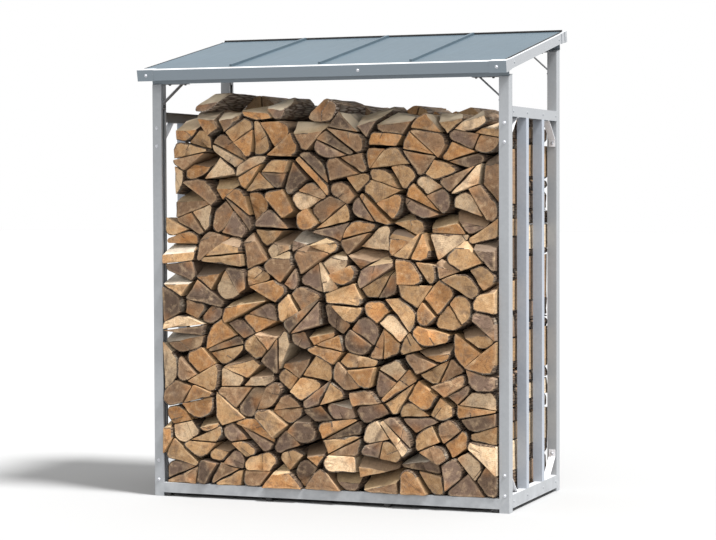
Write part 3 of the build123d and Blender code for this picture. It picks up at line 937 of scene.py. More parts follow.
# painted light: a pale copy of the zinc for the side braces
BRACE_ZINC_PAINTED_LIGHT = ZincPlate("side_brace_zinc_painted_light", colour=(0.66, 0.66, 0.68), metal=0.1)
# painted shade: near-black zinc for the knee brace bolts under the roof
BOLTS_PAINTED_SHADE = ZincPlate("bolts_painted_shade", colour=(0.035, 0.035, 0.037), metal=0.3)

CORNERS = [(end, side) for end in (Side.FRONT, Side.REAR) for side in (Side.LEFT, Side.RIGHT)]
ROOF_SLOPE = math.radians(11.3)  # rising to the rear
ROOF_UP = Vector((0.0, -math.sin(ROOF_SLOPE), math.cos(ROOF_SLOPE)))  # square to the roof
EAVE_HEIGHT = 47.0 * MM
BRACE_SHEET = 3.0 * MM
BRACE_FOOT = 32.0 * MM


@dataclass
class SteelFrame:
    """The frame, roof and feet as they come from the CAD model, with their finishes."""

    nodes: Nodes

    @staticmethod
    def finish_for(name: str) -> Finish:
        """Choose the finish of a node.

        Args:
            name: The node's name.

        Returns:
            Its finish.
        """
        if name == "foot_pads" or name.endswith("_seal"):
            return RUBBER
        if name.startswith("roof_panel") or name == "roof_seam_caps":
            return ROOF_PAINT
        if name.endswith("knee_brace"):
            return KNEE_ZINC_PAINTED_SHADE
        if name.endswith("side_braces"):
            return BRACE_ZINC_PAINTED_LIGHT
        return SLAT_COAT_PAINTED_LIGHT if "_slat_" in name else POWDER_COAT

    def dress(self) -> None:
        """Give every steel, sheet and rubber node its material."""
        for name, node in self.nodes.items():
            if "firewood" in name:
                continue
            finish = self.finish_for(name)
            node.data.materials.clear()
            node.data.materials.append(finish.build())
            LOG.info("finish %s on %s", finish.name, name)


@dataclass(frozen=True)
class RoofSeals:
    """Rubber along the outer edges of the panels and over the rear corner caps."""

    width: float = 3.0 * MM
    side_height: float = 3.2 * MM
    gap: float = 0.4 * MM
    cap_rise: float = 2.1 * MM  # of a corner cap above the eave that it sleeves

    def build(self) -> None:
        """Make the seals as one piece."""
        shape = bmesh.new()
        for side in (Side.LEFT, Side.RIGHT):
            self.side_seal(shape, side)
            self.cap_seal(shape, side)
        bmesh.ops.recalc_face_normals(shape, faces=shape.faces)
        mount(shape, "roof_side_seals", [RUBBER.build()])
        LOG.info("roof_side_seals: two along the sides, two over the corner caps")

    def side_seal(self, shape: bmesh.types.BMesh, side: Side) -> None:
        """Lay a strip on the side beam, beside the outer panel.

        Args:
            shape: The shape that takes it.
            side: The side of the store that it lies on.
        """
        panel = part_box("roof_panel_1" if side is Side.LEFT else "roof_panel_4")
        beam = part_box(f"roof_{side.label}_beam")
        x = outer_x(panel, side) + side.vector().x * (self.gap + self.width / 2)
        y = middle(panel).y
        beam_top = middle(beam).z + EAVE_HEIGHT / math.cos(ROOF_SLOPE) / 2
        z = beam_top + (y - middle(beam).y) * math.tan(ROOF_SLOPE)
        length = (panel[1].y - panel[0].y) / math.cos(ROOF_SLOPE)
        place = Vector((x, y, z)) + ROOF_UP * (self.side_height / 2)
        add_box(shape, Vector((self.width, length, self.side_height)), place, ROOF_SLOPE)

    def cap_seal(self, shape: bmesh.types.BMesh, side: Side) -> None:
        """Lead the rear seal over a corner cap, up to the side seal.

        Args:
            shape: The shape that takes it.
            side: The side of the store that it lies on.
        """
        rear_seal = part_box("roof_rear_seal")
        _, across, up = rear_seal[1] - rear_seal[0]
        cosine, sine = math.cos(ROOF_SLOPE), math.sin(ROOF_SLOPE)
        depth = (across * cosine - up * sine) / math.cos(2 * ROOF_SLOPE)
        height = (up * cosine - across * sine) / math.cos(2 * ROOF_SLOPE)
        thin = height - self.cap_rise - self.gap
        inner = rear_seal[1].x + self.gap
        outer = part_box("roof_panel_4")[1].x + self.gap + self.width
        place = middle(rear_seal) + ROOF_UP * ((height - thin) / 2)
        place.x = side.vector().x * (inner + outer) / 2
        add_box(shape, Vector((outer - inner, depth, thin)), place, ROOF_SLOPE)


@dataclass(frozen=True)
class KneePlates:
    """Flat legs of the knee braces along the top beams and down the posts."""

    soften: float = 0.6 * MM
    gap: float = 0.2 * MM

    def build(self) -> None:
        """Make the legs of all four braces as one piece."""
        shape = bmesh.new()
        for end, side in CORNERS:
            self.legs(shape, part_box(f"{end.label}_{side.label}_knee_brace"), side)
        bmesh.ops.recalc_face_normals(shape, faces=shape.faces)
        # the legs take the dark zinc of painted shade
        mount(shape, "knee_brace_plates", [KNEE_ZINC_PAINTED_SHADE.build()])
        LOG.info("knee_brace_plates: eight legs")

    def legs(self, shape: bmesh.types.BMesh, brace: Box, side: Side) -> None:
        """Add the two legs that meet in the corner of one brace.

        Args:
            shape: The shape that takes them.
            brace: The box of the brace.
            side: The side of the store that its post is on.
        """
        low, high = brace
        width, depth, height = high - low
        run, drop = width - BRACE_FOOT, height - BRACE_FOOT
        inward = -side.vector().x
        post_x, y = outer_x(brace, side), middle(brace).y
        level = Vector((post_x + inward * run / 2, y, high.z - BRACE_SHEET / 2))
        add_box(shape, Vector((run, depth, BRACE_SHEET)), level, soften=self.soften)
        top, bottom = high.z - BRACE_SHEET - self.gap, high.z - drop
        upright = Vector((post_x + inward * BRACE_SHEET / 2, y, (top + bottom) / 2))
        add_box(shape, Vector((BRACE_SHEET, depth, top - bottom)), upright, soften=self.soften)


@dataclass(frozen=True)
class Bolt:
    """A domed bolt head with a washer and a round socket."""

    head_radius: float = 5.8 * MM
    head_height: float = 4.0 * MM
    washer_radius: float = 7.6 * MM
    washer_height: float = 1.2 * MM
    socket_radius: float = 2.4 * MM
    socket_depth: float = 2.0 * MM
    shoulder: tuple[float, float] = (0.94, 0.45)  # of the head's radius and height
    crown: float = 0.62  # of the head's radius
    segments: int = 12

    def profile(self) -> list[tuple[float, float]]:
        """Half of the head's outline.

        Returns:
            Radius and height of each point, from the washer's edge to the socket's floor.
        """
        top = self.washer_height + self.head_height
        wide, high = self.shoulder
        return [
            (self.washer_radius, 0.0),
            (self.washer_radius, self.washer_height),
            (self.head_radius, self.washer_height),
            (wide * self.head_radius, self.washer_height + high * self.head_height),
            (self.crown * self.head_radius, top),
            (self.socket_radius, top),
            (self.socket_radius, top - self.socket_depth),
        ]

    def turned(self) -> bpy.types.Mesh:
        """Spin one head round Z, closed at both ends.

        Returns:
            The head, with the washer's underside on the ground.
        """
        shape = bmesh.new()
        verts = [shape.verts.new((radius, 0.0, height)) for radius, height in self.profile()]
        edges = [shape.edges.new(pair) for pair in zip(verts, verts[1:])]
        bmesh.ops.spin(
            shape,
            geom=verts + edges,
            cent=(0, 0, 0),
            axis=(0, 0, 1),
            angle=math.tau,
            steps=self.segments,
            use_merge=True,
        )
        rims = [edge for edge in shape.edges if len(edge.link_faces) == 1]
        bmesh.ops.holes_fill(shape, edges=rims, sides=self.segments)
        bmesh.ops.recalc_face_normals(shape, faces=shape.faces)
        return finished(shape, "bolt_head")


Head = tuple[Vector, Vector]  # middle of the washer's underside, and the way the head faces


@dataclass(frozen=True)
class Fixings:
    """Bolt heads on the posts, eaves, rails and braces."""

    bolt: Bolt = Bolt()
    flat_bolt: Bolt = Bolt(
        head_radius=5.2 * MM,
        head_height=1.6 * MM,
        washer_radius=6.0 * MM,
        washer_height=0.5 * MM,
        socket_radius=1.4 * MM,
        socket_depth=0.8 * MM,
    )
    post_inset: float = 21.0 * MM
    low_heights: tuple[float, float] = (75.0 * MM, 162.0 * MM)
    high_drops: tuple[float, float] = (73.0 * MM, 154.0 * MM)  # below the side rail's top
    eave_inset: float = 43.0 * MM
    eave_middle: float = 194.0 * MM  # right of the middle of the store
    rail_inset: float = 16.0 * MM
    cap_clearance: float = 80.0 * MM  # between a roof corner cap and the next head
    foot_inset: float = 16.0 * MM

    def build(self) -> None:
        """Make one piece of bolt heads for each part of the frame."""
        for name, bolt, finish, heads in (
            ("post_bolts", self.bolt, ZINC, self.on_posts()),
            ("eave_bolts", self.bolt, ZINC, self.on_eaves()),
            ("side_bolts", self.flat_bolt, POWDER_COAT, self.on_sides() + self.on_roof_sides()),
            ("knee_brace_bolts", self.bolt, BOLTS_PAINTED_SHADE, self.on_knee_braces()),
            ("side_brace_bolts", self.bolt, ZINC, self.on_side_braces()),
        ):
            shape = bmesh.new()
            head = bolt.turned()
            for place, facing in heads:
                count = len(shape.verts)
                shape.from_mesh(head)
                shape.verts.ensure_lookup_table()
                turn = Vector((0, 0, 1)).rotation_difference(facing).to_matrix().to_4x4()
                matrix = Matrix.Translation(place) @ turn
                bmesh.ops.transform(shape, matrix=matrix, verts=shape.verts[count:])
            mount(shape, name, [finish.build()])
            bpy.data.meshes.remove(head)
            LOG.info("%s: %d heads", name, len(heads))

    def on_posts(self) -> list[Head]:
        """Place heads on the front and rear faces of the posts.

        Returns:
            The heads.
        """
        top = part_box("left_top_rail")[1].z
        heights = [*self.low_heights, *(top - drop for drop in self.high_drops)]
        found = []
        for end, side in CORNERS:
            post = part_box(f"{end.label}_{side.label}_post")
            x = outer_x(post, side) - side.vector().x * self.post_inset
            y = post[0].y if end is Side.FRONT else post[1].y
            found += [(Vector((x, y, z)), end.vector()) for z in heights]
        return found

    def on_sides(self) -> list[Head]:
        """Place heads on the outer faces of the side beams and rails, at the slats and posts.

        Returns:
            The heads.
        """
        found = []
        for side in (Side.LEFT, Side.RIGHT):
            slats = [middle(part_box(f"{side.label}_slat_{number}")).y for number in (1, 2)]
            for name in ("bottom_beam", "top_rail"):
                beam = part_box(f"{side.label}_{name}")
                x, z = outer_x(beam, side), middle(beam).z
                posts = [beam[0].y + self.rail_inset, beam[1].y - self.rail_inset]
                found += [(Vector((x, y, z)), side.vector()) for y in slats + posts]
        return found

    def on_roof_sides(self) -> list[Head]:
        """Place heads on the outer faces of the roof's side beams, beside the corner caps.

        Returns:
            The heads.
        """
        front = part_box("front_roof_corner_caps")[1].y + self.cap_clearance
        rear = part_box("rear_roof_corner_caps")[0].y - self.cap_clearance
        found = []
        for side in (Side.LEFT, Side.RIGHT):
            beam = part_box(f"roof_{side.label}_beam")
            for y in (front, rear):
                z = middle(beam).z + (y - middle(beam).y) * math.tan(ROOF_SLOPE)
                found.append((Vector((outer_x(beam, side), y, z)), side.vector()))
        return found

    def on_eaves(self) -> list[Head]:
        """Place heads on the front and rear eaves, at their corners and beside the middle.

        Returns:
            The heads.
        """
        found = []
        for end in (Side.FRONT, Side.REAR):
            facing = end.vector().y
            outward = facing * Vector((0.0, math.cos(ROOF_SLOPE), math.sin(ROOF_SLOPE)))
            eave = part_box(f"{end.label}_fascia")
            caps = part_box(f"{end.label}_roof_corner_caps")
            cap_height = EAVE_HEIGHT + 2 * abs(eave[0].z - caps[0].z)
            for x in (caps[0].x + self.eave_inset, caps[1].x - self.eave_inset):
                found.append((self.on_eave(caps, cap_height, x, facing), outward))
            found.append((self.on_eave(eave, EAVE_HEIGHT, self.eave_middle, facing), outward))
        return found

    @staticmethod
    def on_eave(box: Box, height: float, x: float, facing: float) -> Vector:
        """Find the middle of the outer face of an eave.

        Args:
            box: The box of the channel that makes the eave.
            height: Height of its outer face, square to the roof.
            x: Place along the eave.
            facing: -1 at the front and 1 at the rear.

        Returns:
            The place on the face.
        """
        edge = box[0] if facing < 0 else box[1]
        inward = Vector((0.0, math.sin(ROOF_SLOPE), math.cos(ROOF_SLOPE))) * (-facing * height / 2)
        return Vector((x, edge.y, edge.z)) + inward

    def on_knee_braces(self) -> list[Head]:
        """Place heads under both ends of each level leg and on the foot down the post.

        Returns:
            The heads.
        """
        found = []
        for end, side in CORNERS:
            low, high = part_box(f"{end.label}_{side.label}_knee_brace")
            y = (low.y + high.y) / 2
            left = side is Side.LEFT
            outer, inner, facing = (low.x, high.x, Side.RIGHT) if left else (high.x, low.x, Side.LEFT)
            inward = facing.vector().x
            for x in (outer + inward * 2 * self.foot_inset, inner - inward * self.foot_inset):
                found.append((Vector((x, y, high.z - BRACE_SHEET)), Side.DOWN.vector()))
            x = outer + inward * BRACE_SHEET
            found.append((Vector((x, y, low.z + self.foot_inset)), facing.vector()))
        return found

    def on_side_braces(self) -> list[Head]:
        """Place heads on the upright feet of the side braces.

        Returns:
            The heads.
        """
        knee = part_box("front_left_knee_brace")
        drop = knee[1].z - knee[0].z - self.foot_inset
        found = []
        for side in (Side.LEFT, Side.RIGHT):
            low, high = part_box(f"{side.label}_side_braces")
            x = (low.x + high.x) / 2
            for y, facing in ((low.y + BRACE_SHEET, Side.REAR), (high.y - BRACE_SHEET, Side.FRONT)):
                found += [(Vector((x, y, z)), facing.vector()) for z in (low.z + drop, high.z - drop)]
        return found


# ------------------------------------------------------------------ firewood


ON_PLANE = 0.001 * MM  # nearest to a cut that a corner stays off it


def cut(
    shape: bmesh.types.BMesh, place: Vector, normal: Vector, clear_inner: bool = False
) -> None:
    """Cut through a shape along a plane.

    Args:
        shape: The shape.
        place: A place on the plane.
        normal: The way that the plane faces.
        clear_inner: Whether the part behind the plane is dropped.
    """
    bmesh.ops.bisect_plane(
        shape,
        geom=list(shape.verts) + list(shape.edges) + list(shape.faces),
        dist=ON_PLANE,
        plane_co=place,
        plane_no=normal,
        clear_inner=clear_inner,
    )


@dataclass(frozen=True)
class WoodTone:
    """One family of wood colours on sawn ends and on split faces."""

    end: Colour
    split: Colour
    share: float
    spread: float = 0.24


TONES = (
    WoodTone((0.38, 0.185, 0.06), (0.38, 0.23, 0.105), 0.21),
    WoodTone((0.41, 0.245, 0.11), (0.41, 0.27, 0.145), 0.22),
    WoodTone((0.235, 0.132, 0.064), (0.25, 0.155, 0.085), 0.20),
    WoodTone((0.185, 0.115, 0.077), (0.19, 0.125, 0.08), 0.14),
    WoodTone((0.10, 0.058, 0.033), (0.12, 0.075, 0.046), 0.12),
    WoodTone((0.58, 0.42, 0.26), (0.58, 0.45, 0.30), 0.11),
)
SLABS = {  # share of each colour of the broad split tops of logs
    (0.62, 0.54, 0.43): 0.18,
    (0.48, 0.34, 0.19): 0.36,
    (0.32, 0.215, 0.13): 0.28,
    (0.17, 0.12, 0.08): 0.18,
}


@dataclass(frozen=True)
class EndSide:
    """One side of a log's end: its two corners in X and Z, and whether it is split or bark."""

    start: Vector
    end: Vector
    kind: Face

    def distance(self, point: Vector) -> float:
        """Measure from a point to the side.

        Args:
            point: The point in X and Z.

        Returns:
            The distance in metres.
        """
        along = self.end - self.start
        share = (point - self.start).dot(along) / max(along.length_squared, 1e-12)
        return (self.start + along * min(max(share, 0.0), 1.0) - point).length


@dataclass
class Log:
    """One piece of firewood, worked up from its plain CAD solid."""

    COLOUR = "log_colour"
    PLACE = "log_place"
    INSIDE = "log_inside"

    shape: bmesh.types.BMesh
    rng: random.Random
    shown: Side
    end_facing: float = 0.9  # least part of Y in the normal of an end
    slab_facing: float = 0.1  # and of a face that slants down towards an end
    widest_heart: float = math.radians(120)
    shortest_split: float = 38.0 * MM
    sharp: float = math.radians(30)
    edge_bevel: float = 4.2 * MM
    edge_steps: int = 1
    bark_bevel: float = 18.0 * MM
    bark_steps: int = 3
    tilt: float = 0.13
    recess: float = 13.0 * MM  # most that a front end lies behind its CAD solid's
    longest_rim: float = 16.0 * MM
    cuts: tuple[float, ...] = (0.012, 0.045, 0.11, 0.2)  # behind the end that shows
    half_end: float = 60.0 * MM
    rim_width: float = 1.7 * MM
    rim_depth: float = 2.2 * MM
    rim_spread: tuple[float, float] = (0.5, 1.3)  # of its depth
    bark_width: float = 3.4 * MM
    most_inward: float = 0.3  # of the way to the end's middle
    middle_share: float = 0.58
    relief: float = 1.6 * MM
    core: float = 5.0 * MM  # from the middle, where the sides stay
    noise_reach: float = 50.0  # each way along an axis, where a log's noise is taken from
    wane: float = 6.5 * MM
    wane_scale: float = 24.0
    wane_start: float = 0.25
    roughness: float = 2.8 * MM
    rough_scale: float = 75.0
    rough_start: float = 0.3
    weld: float = 0.05 * MM
    slab_match: float = 0.97
    longest_offset: float = 40.0  # of the patterns along a log, in metres
    heart: Vector = field(init=False)
    sides: list[EndSide] = field(init=False)
    slabs: list[Vector] = field(init=False)
    end_face: bmesh.types.BMFace = field(init=False)

    @property
    def way(self) -> float:
        """The way along Y that the end which shows faces."""
        return self.shown.vector().y

    def build(self) -> None:
        """Run every step, from the plain solid to the finished log."""
        bmesh.ops.recalc_face_normals(self.shape, faces=self.shape.faces)
        self.outline()
        self.sort_faces()
        self.soften_edges()
        self.tilt_end()
        self.divide_rim()
        self.cut_across()
        self.work_end()
        self.wane_sides()
        bmesh.ops.dissolve_degenerate(self.shape, dist=self.weld, edges=self.shape.edges)
        self.colour_faces()

    def shown_end(self) -> bmesh.types.BMFace:
        """The end face that can be seen."""
        ends = [face for face in self.shape.faces if face.normal.y * self.way > self.end_facing]
        return max(ends, key=lambda face: face.calc_area())

    def outline(self) -> None:
        """Find the sides of the log's end and tell split sides from bark."""
        whole = min(self.shape.faces, key=lambda face: face.normal.y * self.way)
        corners = [Vector((vert.co.x, vert.co.z)) for vert in whole.verts]
        count = len(corners)
        sides = [(corners[i], corners[(i + 1) % count]) for i in range(count)]
        lengths = [(end - start).length for start, end in sides]
        place = max(range(count), key=lambda i: min(lengths[i - 1], lengths[i]))
        before, corner, after = corners[place - 1], corners[place], corners[(place + 1) % count]
        angle = (before - corner).angle(after - corner)
        shorter = min(lengths[place - 1], lengths[place])
        if angle < self.widest_heart and shorter > self.shortest_split:
            split = {(place - 1) % count, place}
            heart = corner
        else:
            place = lengths.index(max(lengths))
            split = {place}
            heart = (sides[place][0] + sides[place][1]) / 2
        self.heart = Vector((heart.x, 0.0, heart.y))
        self.sides = [
            EndSide(start, end, Face.SPLIT if number in split else Face.BARK)
            for number, (start, end) in enumerate(sides)
        ]

    def nearest(self, place: Vector) -> tuple[float, Face]:
        """Find the side of the log that is nearest to a place.

        Args:
            place: The place, of which X and Z count.

        Returns:
            The distance to the side, and what the side is.
        """
        point = Vector((place.x, place.z))
        side = min(self.sides, key=lambda one: one.distance(point))
        return side.distance(point), side.kind

    def sort_faces(self) -> None:
        """Mark each face of the plain solid as end grain, split face or bark."""
        self.slabs = []
        for face in self.shape.faces:
            kind = self.nearest(face.calc_center_median())[1]
            if abs(face.normal.y) > self.end_facing:
                kind = Face.END
            elif abs(face.normal.y) > self.slab_facing:
                self.slabs.append(face.normal.copy())
                kind = Face.SPLIT
            face.material_index = kind.value

    def soften_edges(self) -> None:
        """Round the bark well and take the sharp edges off between split faces."""
        for round_bark in (True, False):
            edges = []
            for edge in self.shape.edges:
                along = edge.verts[1].co - edge.verts[0].co
                lengthwise = abs(along.y) > self.end_facing * along.length
                kinds = {face.material_index for face in edge.link_faces}
                if (kinds == {Face.BARK.value}) is round_bark and lengthwise:
                    if edge.calc_face_angle(0.0) > self.sharp:
                        edges.append(edge)
            bmesh.ops.bevel(
                self.shape,
                geom=edges,
                offset=self.bark_bevel if round_bark else self.edge_bevel,
                offset_type="OFFSET",
                affect="EDGES",
                segments=self.bark_steps if round_bark else self.edge_steps,
                profile=0.5,
                material=-1,
                clamp_overlap=True,
            )

    def tilt_end(self) -> None:
        """Saw the end that shows a little out of square."""
        end = self.shown_end()
        centre = end.calc_center_median()
        across, up = (self.rng.uniform(-self.tilt, self.tilt) for _ in range(2))
        back = self.rng.uniform(0.0, self.recess) if self.shown is Side.FRONT else 0.0
        for vert in end.verts:
            vert.co.y += back + across * (vert.co.x - centre.x) + up * (vert.co.z - centre.z)

    def divide_rim(self) -> None:
        """Divide the long edges of the end that shows, so that its outline can wander."""
        for cuts in (2, 1):
            long = (cuts + 1) * self.longest_rim
            edges = [edge for edge in self.shown_end().edges if edge.calc_length() > long]
            bmesh.ops.subdivide_edges(self.shape, edges=edges, cuts=cuts)

    def cut_across(self) -> None:
        """Divide the sides along the log, closer together near the end that shows."""
        start = max(vert.co.y * self.way for vert in self.shown_end().verts) * self.way
        for depth in self.cuts:
            place = start - self.way * (depth + self.tilt * self.half_end)
            cut(self.shape, Vector((0.0, place, 0.0)), Vector((0.0, 1.0, 0.0)))

    def ring(self, width: float, share: float = 1.0) -> list[bmesh.types.BMFace]:
        """Set a smaller face into the end that shows.

        Args:
            width: How far its corners move towards its middle.
            share: Its size beside the outer face, after that move.

        Returns:
            The faces between the two.
        """
        end = self.shown_end()
        rim = set(end.verts)
        made = bmesh.ops.extrude_discrete_faces(self.shape, faces=[end])["faces"][0]
        centre = made.calc_center_median()
        for vert in made.verts:
            inward = centre - vert.co
            step = min(width, self.most_inward * inward.length) + (1.0 - share) * inward.length
            vert.co += inward.normalized() * step
        self.end_face = made
        inner = set(made.verts)
        return [face for vert in rim for face in vert.link_faces if inner & set(face.verts)]

    def work_end(self) -> None:
        """Chip the rim of the end that shows, give it a bark ring and an uneven middle."""
        outer = list(self.shown_end().verts)
        edge_faces = set(self.ring(self.rim_width))
        for vert in outer:
            vert.co.y -= self.way * self.rim_depth * self.rng.uniform(*self.rim_spread)
        bark_faces = set(self.ring(self.bark_width)) - edge_faces
        for face in edge_faces | bark_faces:
            corners = sorted(face.verts, key=lambda vert: self.nearest(vert.co)[0])[:2]
            kind = self.nearest((corners[0].co + corners[1].co) / 2)[1]
            face.material_index = (Face.BARK if kind is Face.BARK else Face.END).value
        self.ring(0.0, self.middle_share)
        for vert in self.end_face.verts:
            vert.co.y += self.rng.uniform(-self.relief, self.relief)
        for vert in bmesh.ops.poke(self.shape, faces=[self.end_face])["verts"]:
            vert.co.y += self.rng.uniform(-self.relief, self.relief)

    def wane_sides(self) -> None:
        """Let the sides wander inwards, so that gaps of uneven width open between logs."""
        seed = Vector([self.rng.uniform(-self.noise_reach, self.noise_reach) for _ in range(3)])
        centre = sum((vert.co for vert in self.shape.verts), Vector()) / len(self.shape.verts)
        for vert in self.shape.verts:
            away = Vector((vert.co.x - centre.x, 0.0, vert.co.z - centre.z))
            if away.length > self.core:
                wander = noise.noise(vert.co * self.wane_scale + seed) + self.wane_start
                ragged = noise.noise(vert.co * self.rough_scale + seed) + self.rough_start
                step = self.wane * max(wander, 0.0) + self.roughness * max(ragged, 0.0)
                vert.co -= away.normalized() * step

    def colour_faces(self) -> None:
        """Write the log's colour, its place round the heart and the depth inside its rim."""
        colour_layer = self.shape.loops.layers.float_color.new(self.COLOUR)
        place_layer = self.shape.verts.layers.float_vector.new(self.PLACE)
        inside_layer = self.shape.verts.layers.float.new(self.INSIDE)
        tone = self.rng.choices(TONES, [tone.share for tone in TONES])[0]
        slab = self.rng.choices(list(SLABS), list(SLABS.values()))[0]
        light = 1.0 + self.rng.uniform(-tone.spread, tone.spread)
        offset = Vector((0.0, self.rng.uniform(0.0, self.longest_offset), 0.0))
        for vert in self.shape.verts:
            vert[place_layer] = vert.co - self.heart + offset
            vert[inside_layer] = self.nearest(vert.co)[0]
        for face in self.shape.faces:
            base = tone.end if face.material_index == Face.END.value else tone.split
            if any(face.normal.dot(normal) > self.slab_match for normal in self.slabs):
                base = slab
            for loop in face.loops:
                loop[colour_layer] = (*(min(light * value, 1.0) for value in base), 1.0)


@dataclass
class Splitter:
    """Splits the broad pieces once more, from the heart to the bark."""

    rng: random.Random
    broad: float = 0.0118  # square metres of its end, over which a piece is split
    gap: float = 5.0 * MM
    turn: float = math.radians(14)
    miss: float = 9.0 * MM

    def parts(self, shape: bmesh.types.BMesh) -> list[bmesh.types.BMesh]:
        """Split a piece if its end is broad.

        Args:
            shape: The plain piece, which is used up if it is split.

        Returns:
            The piece itself, or its two parts.
        """
        end = min(shape.faces, key=lambda face: face.normal.y)
        if end.calc_area() < self.broad:
            return [shape]
        log = Log(shape, self.rng, Side.FRONT)
        log.outline()
        centre = end.calc_center_median_weighted()
        radial = Vector((centre.x - log.heart.x, 0.0, centre.z - log.heart.z))
        across = radial.cross(Vector((0.0, 1.0, 0.0))).normalized()
        across.rotate(Matrix.Rotation(self.rng.uniform(-self.turn, self.turn), 3, "Y"))
        place = centre + across * self.rng.uniform(-self.miss, self.miss)
        found = []
        for side in (-across, across):
            part = shape.copy()
            cut(part, place + side * self.gap / 2, side, clear_inner=True)
            rim = [edge for edge in part.edges if len(edge.link_faces) == 1]
            bmesh.ops.holes_fill(part, edges=rim, sides=0)
            found.append(part)
        shape.free()
        return found


@dataclass(frozen=True)
class Refit:
    """New heights for one log of the top course, so that it lies closer in the stack."""

    node: str
    inside: tuple[float, float]  # a place within it, in X and Z
    low: float
    high: float

    def apply(self, node: str, shape: bmesh.types.BMesh) -> None:
        """Stretch a log along Z if it is the one that is meant.

        Args:
            node: The node that the log comes from.
            shape: The log.
        """
        spans = [
            (min(vert.co[axis] for vert in shape.verts), max(vert.co[axis] for vert in shape.verts))
            for axis in (0, 2)
        ]
        meant = all(low < place < high for (low, high), place in zip(spans, self.inside))
        if node != self.node or not meant:
            return
        bottom, top = spans[1]
        scale = (self.high - self.low) / (top - bottom)
        for vert in shape.verts:
            vert.co.z = self.low + (vert.co.z - bottom) * scale
        LOG.info("%s: the log at %s is now %.3f m tall", node, self.inside, self.high - self.low)


REFITS = (
    Refit("front_firewood_6", (-0.572, 1.800), 1.735, 1.822),
    Refit("rear_firewood_6", (0.733, 1.780), 1.660, 1.740),
)


@dataclass
class FirewoodRow:
    """One row of the stack: every course of it, log by log."""

    nodes: Nodes
    shown: Side
    seed: int
    merge: float = 0.02 * MM
    flat: float = math.radians(0.5)
    smooth_angle: float = math.radians(38)

    def build(self, materials: list[bpy.types.Material]) -> None:
        """Make one piece for each course and let it stand for its CAD node.

        Args:
            materials: End grain, split grain and bark.
        """
        rng = random.Random(self.seed)
        row = f"{self.shown.label}_firewood"
        for node_name in sorted(name for name in self.nodes if name.startswith(row)):
            course = bmesh.new()
            count = 0
            for shape in self.loose_logs(self.nodes[node_name]):
                for refit in REFITS:
                    refit.apply(node_name, shape)
                for part in Splitter(rng).parts(shape):
                    Log(part, rng, self.shown).build()
                    mesh = finished(part, "one_log")
                    course.from_mesh(mesh)
                    bpy.data.meshes.remove(mesh)
                    count += 1
            piece = mount(course, f"{node_name}_logs", materials)
            piece.data.shade_smooth()
            piece.data.set_sharp_from_angle(angle=self.smooth_angle)
            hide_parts(node_name)
            LOG.info("%s: %d logs, %d faces", piece.name, count, len(piece.data.polygons))

    def loose_logs(self, node: bpy.types.Object) -> list[bmesh.types.BMesh]:
        """Copy a CAD node and part it into its solids.

        Args:
            node: The CAD node of one course.

        Returns:
            One shape with flat faces for each log.
        """
        whole = bmesh.new()
        whole.from_mesh(node.data)
        bmesh.ops.remove_doubles(whole, verts=whole.verts, dist=self.merge)
        bmesh.ops.dissolve_limit(
            whole, angle_limit=self.flat, verts=whole.verts, edges=whole.edges
        )
        whole.verts.index_update()
        whole.verts.ensure_lookup_table()
        waiting = set(range(len(whole.verts)))
        found = []
        while waiting:
            island = self.island(whole.verts[min(waiting)])
            waiting -= island
            part = whole.copy()
            others = [vert for vert in part.verts if vert.index not in island]
            bmesh.ops.delete(part, geom=others, context="VERTS")
            found.append(part)
        whole.free()
        return found

    @staticmethod
    def island(start: bmesh.types.BMVert) -> set[int]:
        """Find what hangs together.

        Args:
            start: A vertex.

        Returns:
            The numbers of all vertices that edges join to it, and its own.
        """
        reached, growing = {start.index}, [start]
        while growing:
            vert = growing.pop()
            for other in (edge.other_vert(vert) for edge in vert.link_edges):
                if other.index not in reached:
                    reached.add(other.index)
                    growing.append(other)
        return reached


@dataclass
class Firewood:
    """The two rows of the stack and the three faces of their logs."""

    nodes: Nodes
    end: Finish = field(default_factory=lambda: EndGrain("end_grain"))
    split: Finish = field(default_factory=lambda: SplitGrain("split_grain"))
    bark: Finish = field(default_factory=lambda: BarkSkin("bark"))

    def build(self) -> None:
        """Build both rows."""
        materials = [finish.build() for finish in (self.end, self.split, self.bark)]
        FirewoodRow(self.nodes, Side.FRONT, seed=11).build(materials)
        FirewoodRow(self.nodes, Side.REAR, seed=12).build(materials)


# ------------------------------------------------------------------ studio


@dataclass(frozen=True)
class Lamp:
    """A far lamp, given by the way towards it in degrees."""

    name: str
    strength: float
    azimuth: float  # from the front towards the right
    height: float
    spread: float

    def hang(self) -> None:
        """Add the lamp to the scene."""
        data = bpy.data.lights.new(self.name, "SUN")
        data.energy = self.strength
        data.angle = math.radians(self.spread)
        side, rise = math.radians(self.azimuth), math.radians(self.height)
        level = math.cos(rise)
        towards = Vector((math.sin(side) * level, -math.cos(side) * level, math.sin(rise)))
        lamp = link(self.name, data)
        lamp.rotation_mode = "QUATERNION"
        lamp.rotation_quaternion = towards.to_track_quat("Z", "Y")


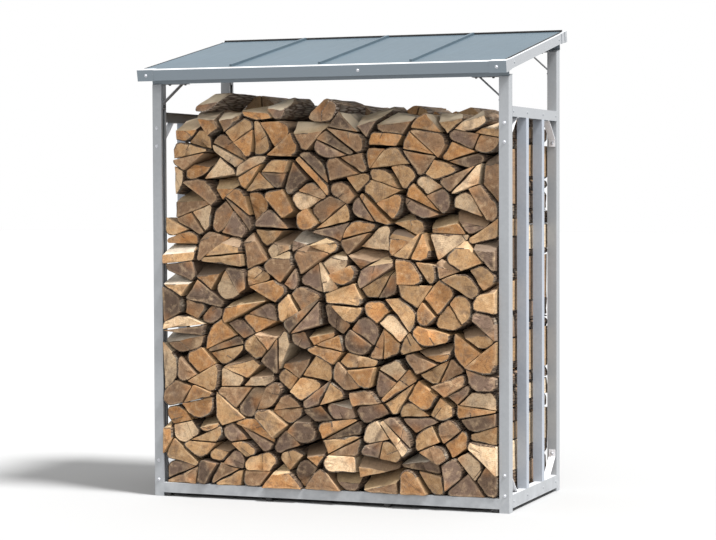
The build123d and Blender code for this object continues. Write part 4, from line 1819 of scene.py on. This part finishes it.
@dataclass(frozen=True)
class Studio:
    """Camera, lights and floor."""

    camera_place: tuple[float, float, float] = (3.527, -9.144, 1.370)
    yaw: float = math.radians(21.03)
    pitch: float = math.radians(-2.047)
    roll: float = math.radians(-0.204)
    focal_length: float = 2158.35  # in the unit of image_width
    image_width: int = 716
    sensor: float = 36.0
    farthest: float = 200.0
    sky: float = 1.0
    key: Lamp = Lamp("key_lamp", 7.0, azimuth=75.0, height=60.0, spread=12.0)
    fill: Lamp = Lamp("fill_lamp", 1.05, azimuth=12.0, height=15.0, spread=40.0)
    floor_size: float = 120.0

    def build(self) -> None:
        """Set up the whole studio."""
        self.camera()
        self.light()
        self.floor()

    def camera(self) -> None:
        """Place the camera and make it the scene's own."""
        data = bpy.data.cameras.new("camera")
        data.sensor_width = self.sensor
        data.lens = self.focal_length * self.sensor / self.image_width
        data.clip_end = self.farthest
        level = math.cos(self.pitch)
        ahead = Vector((-math.sin(self.yaw) * level, math.cos(self.yaw) * level, math.sin(self.pitch)))
        right = Vector((math.cos(self.yaw), math.sin(self.yaw), 0.0))
        up = right.cross(ahead)
        turned_right = math.cos(self.roll) * right + math.sin(self.roll) * up
        turned_up = math.cos(self.roll) * up - math.sin(self.roll) * right
        turn = Matrix((turned_right, turned_up, -ahead)).transposed().to_4x4()
        camera = link("camera", data)
        camera.matrix_world = Matrix.Translation(self.camera_place) @ turn
        bpy.context.scene.camera = camera

    def light(self) -> None:
        """A white sky all round, a high lamp on the right and a weak one beside the camera."""
        world = bpy.data.worlds.new("white_sky")
        world.use_nodes = True
        background = world.node_tree.nodes["Background"].inputs
        background["Color"].default_value = (1.0, 1.0, 1.0, 1.0)
        background["Strength"].default_value = self.sky
        bpy.context.scene.world = world
        bpy.context.scene.view_settings.view_transform = "Standard"
        for lamp in (self.key, self.fill):
            lamp.hang()

    def floor(self) -> None:
        """A plain pale floor under the store."""
        shape = bmesh.new()
        bmesh.ops.create_grid(shape, x_segments=1, y_segments=1, size=self.floor_size / 2)
        mesh = finished(shape, "floor")
        mesh.materials.append(PaleFloor("pale_floor").build())
        link("floor", mesh)


def main() -> None:
    """Build the looks of the log store round its CAD model."""
    logging.basicConfig(level=logging.INFO, format="%(name)s: %(message)s")
    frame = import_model()
    SharedEffects().build()
    Studio().build()
    SteelFrame(frame["nodes"]).dress()
    RoofSeals().build()
    KneePlates().build()
    Fixings().build()
    Firewood(frame["nodes"]).build()


if __name__ == "__main__":
    main()
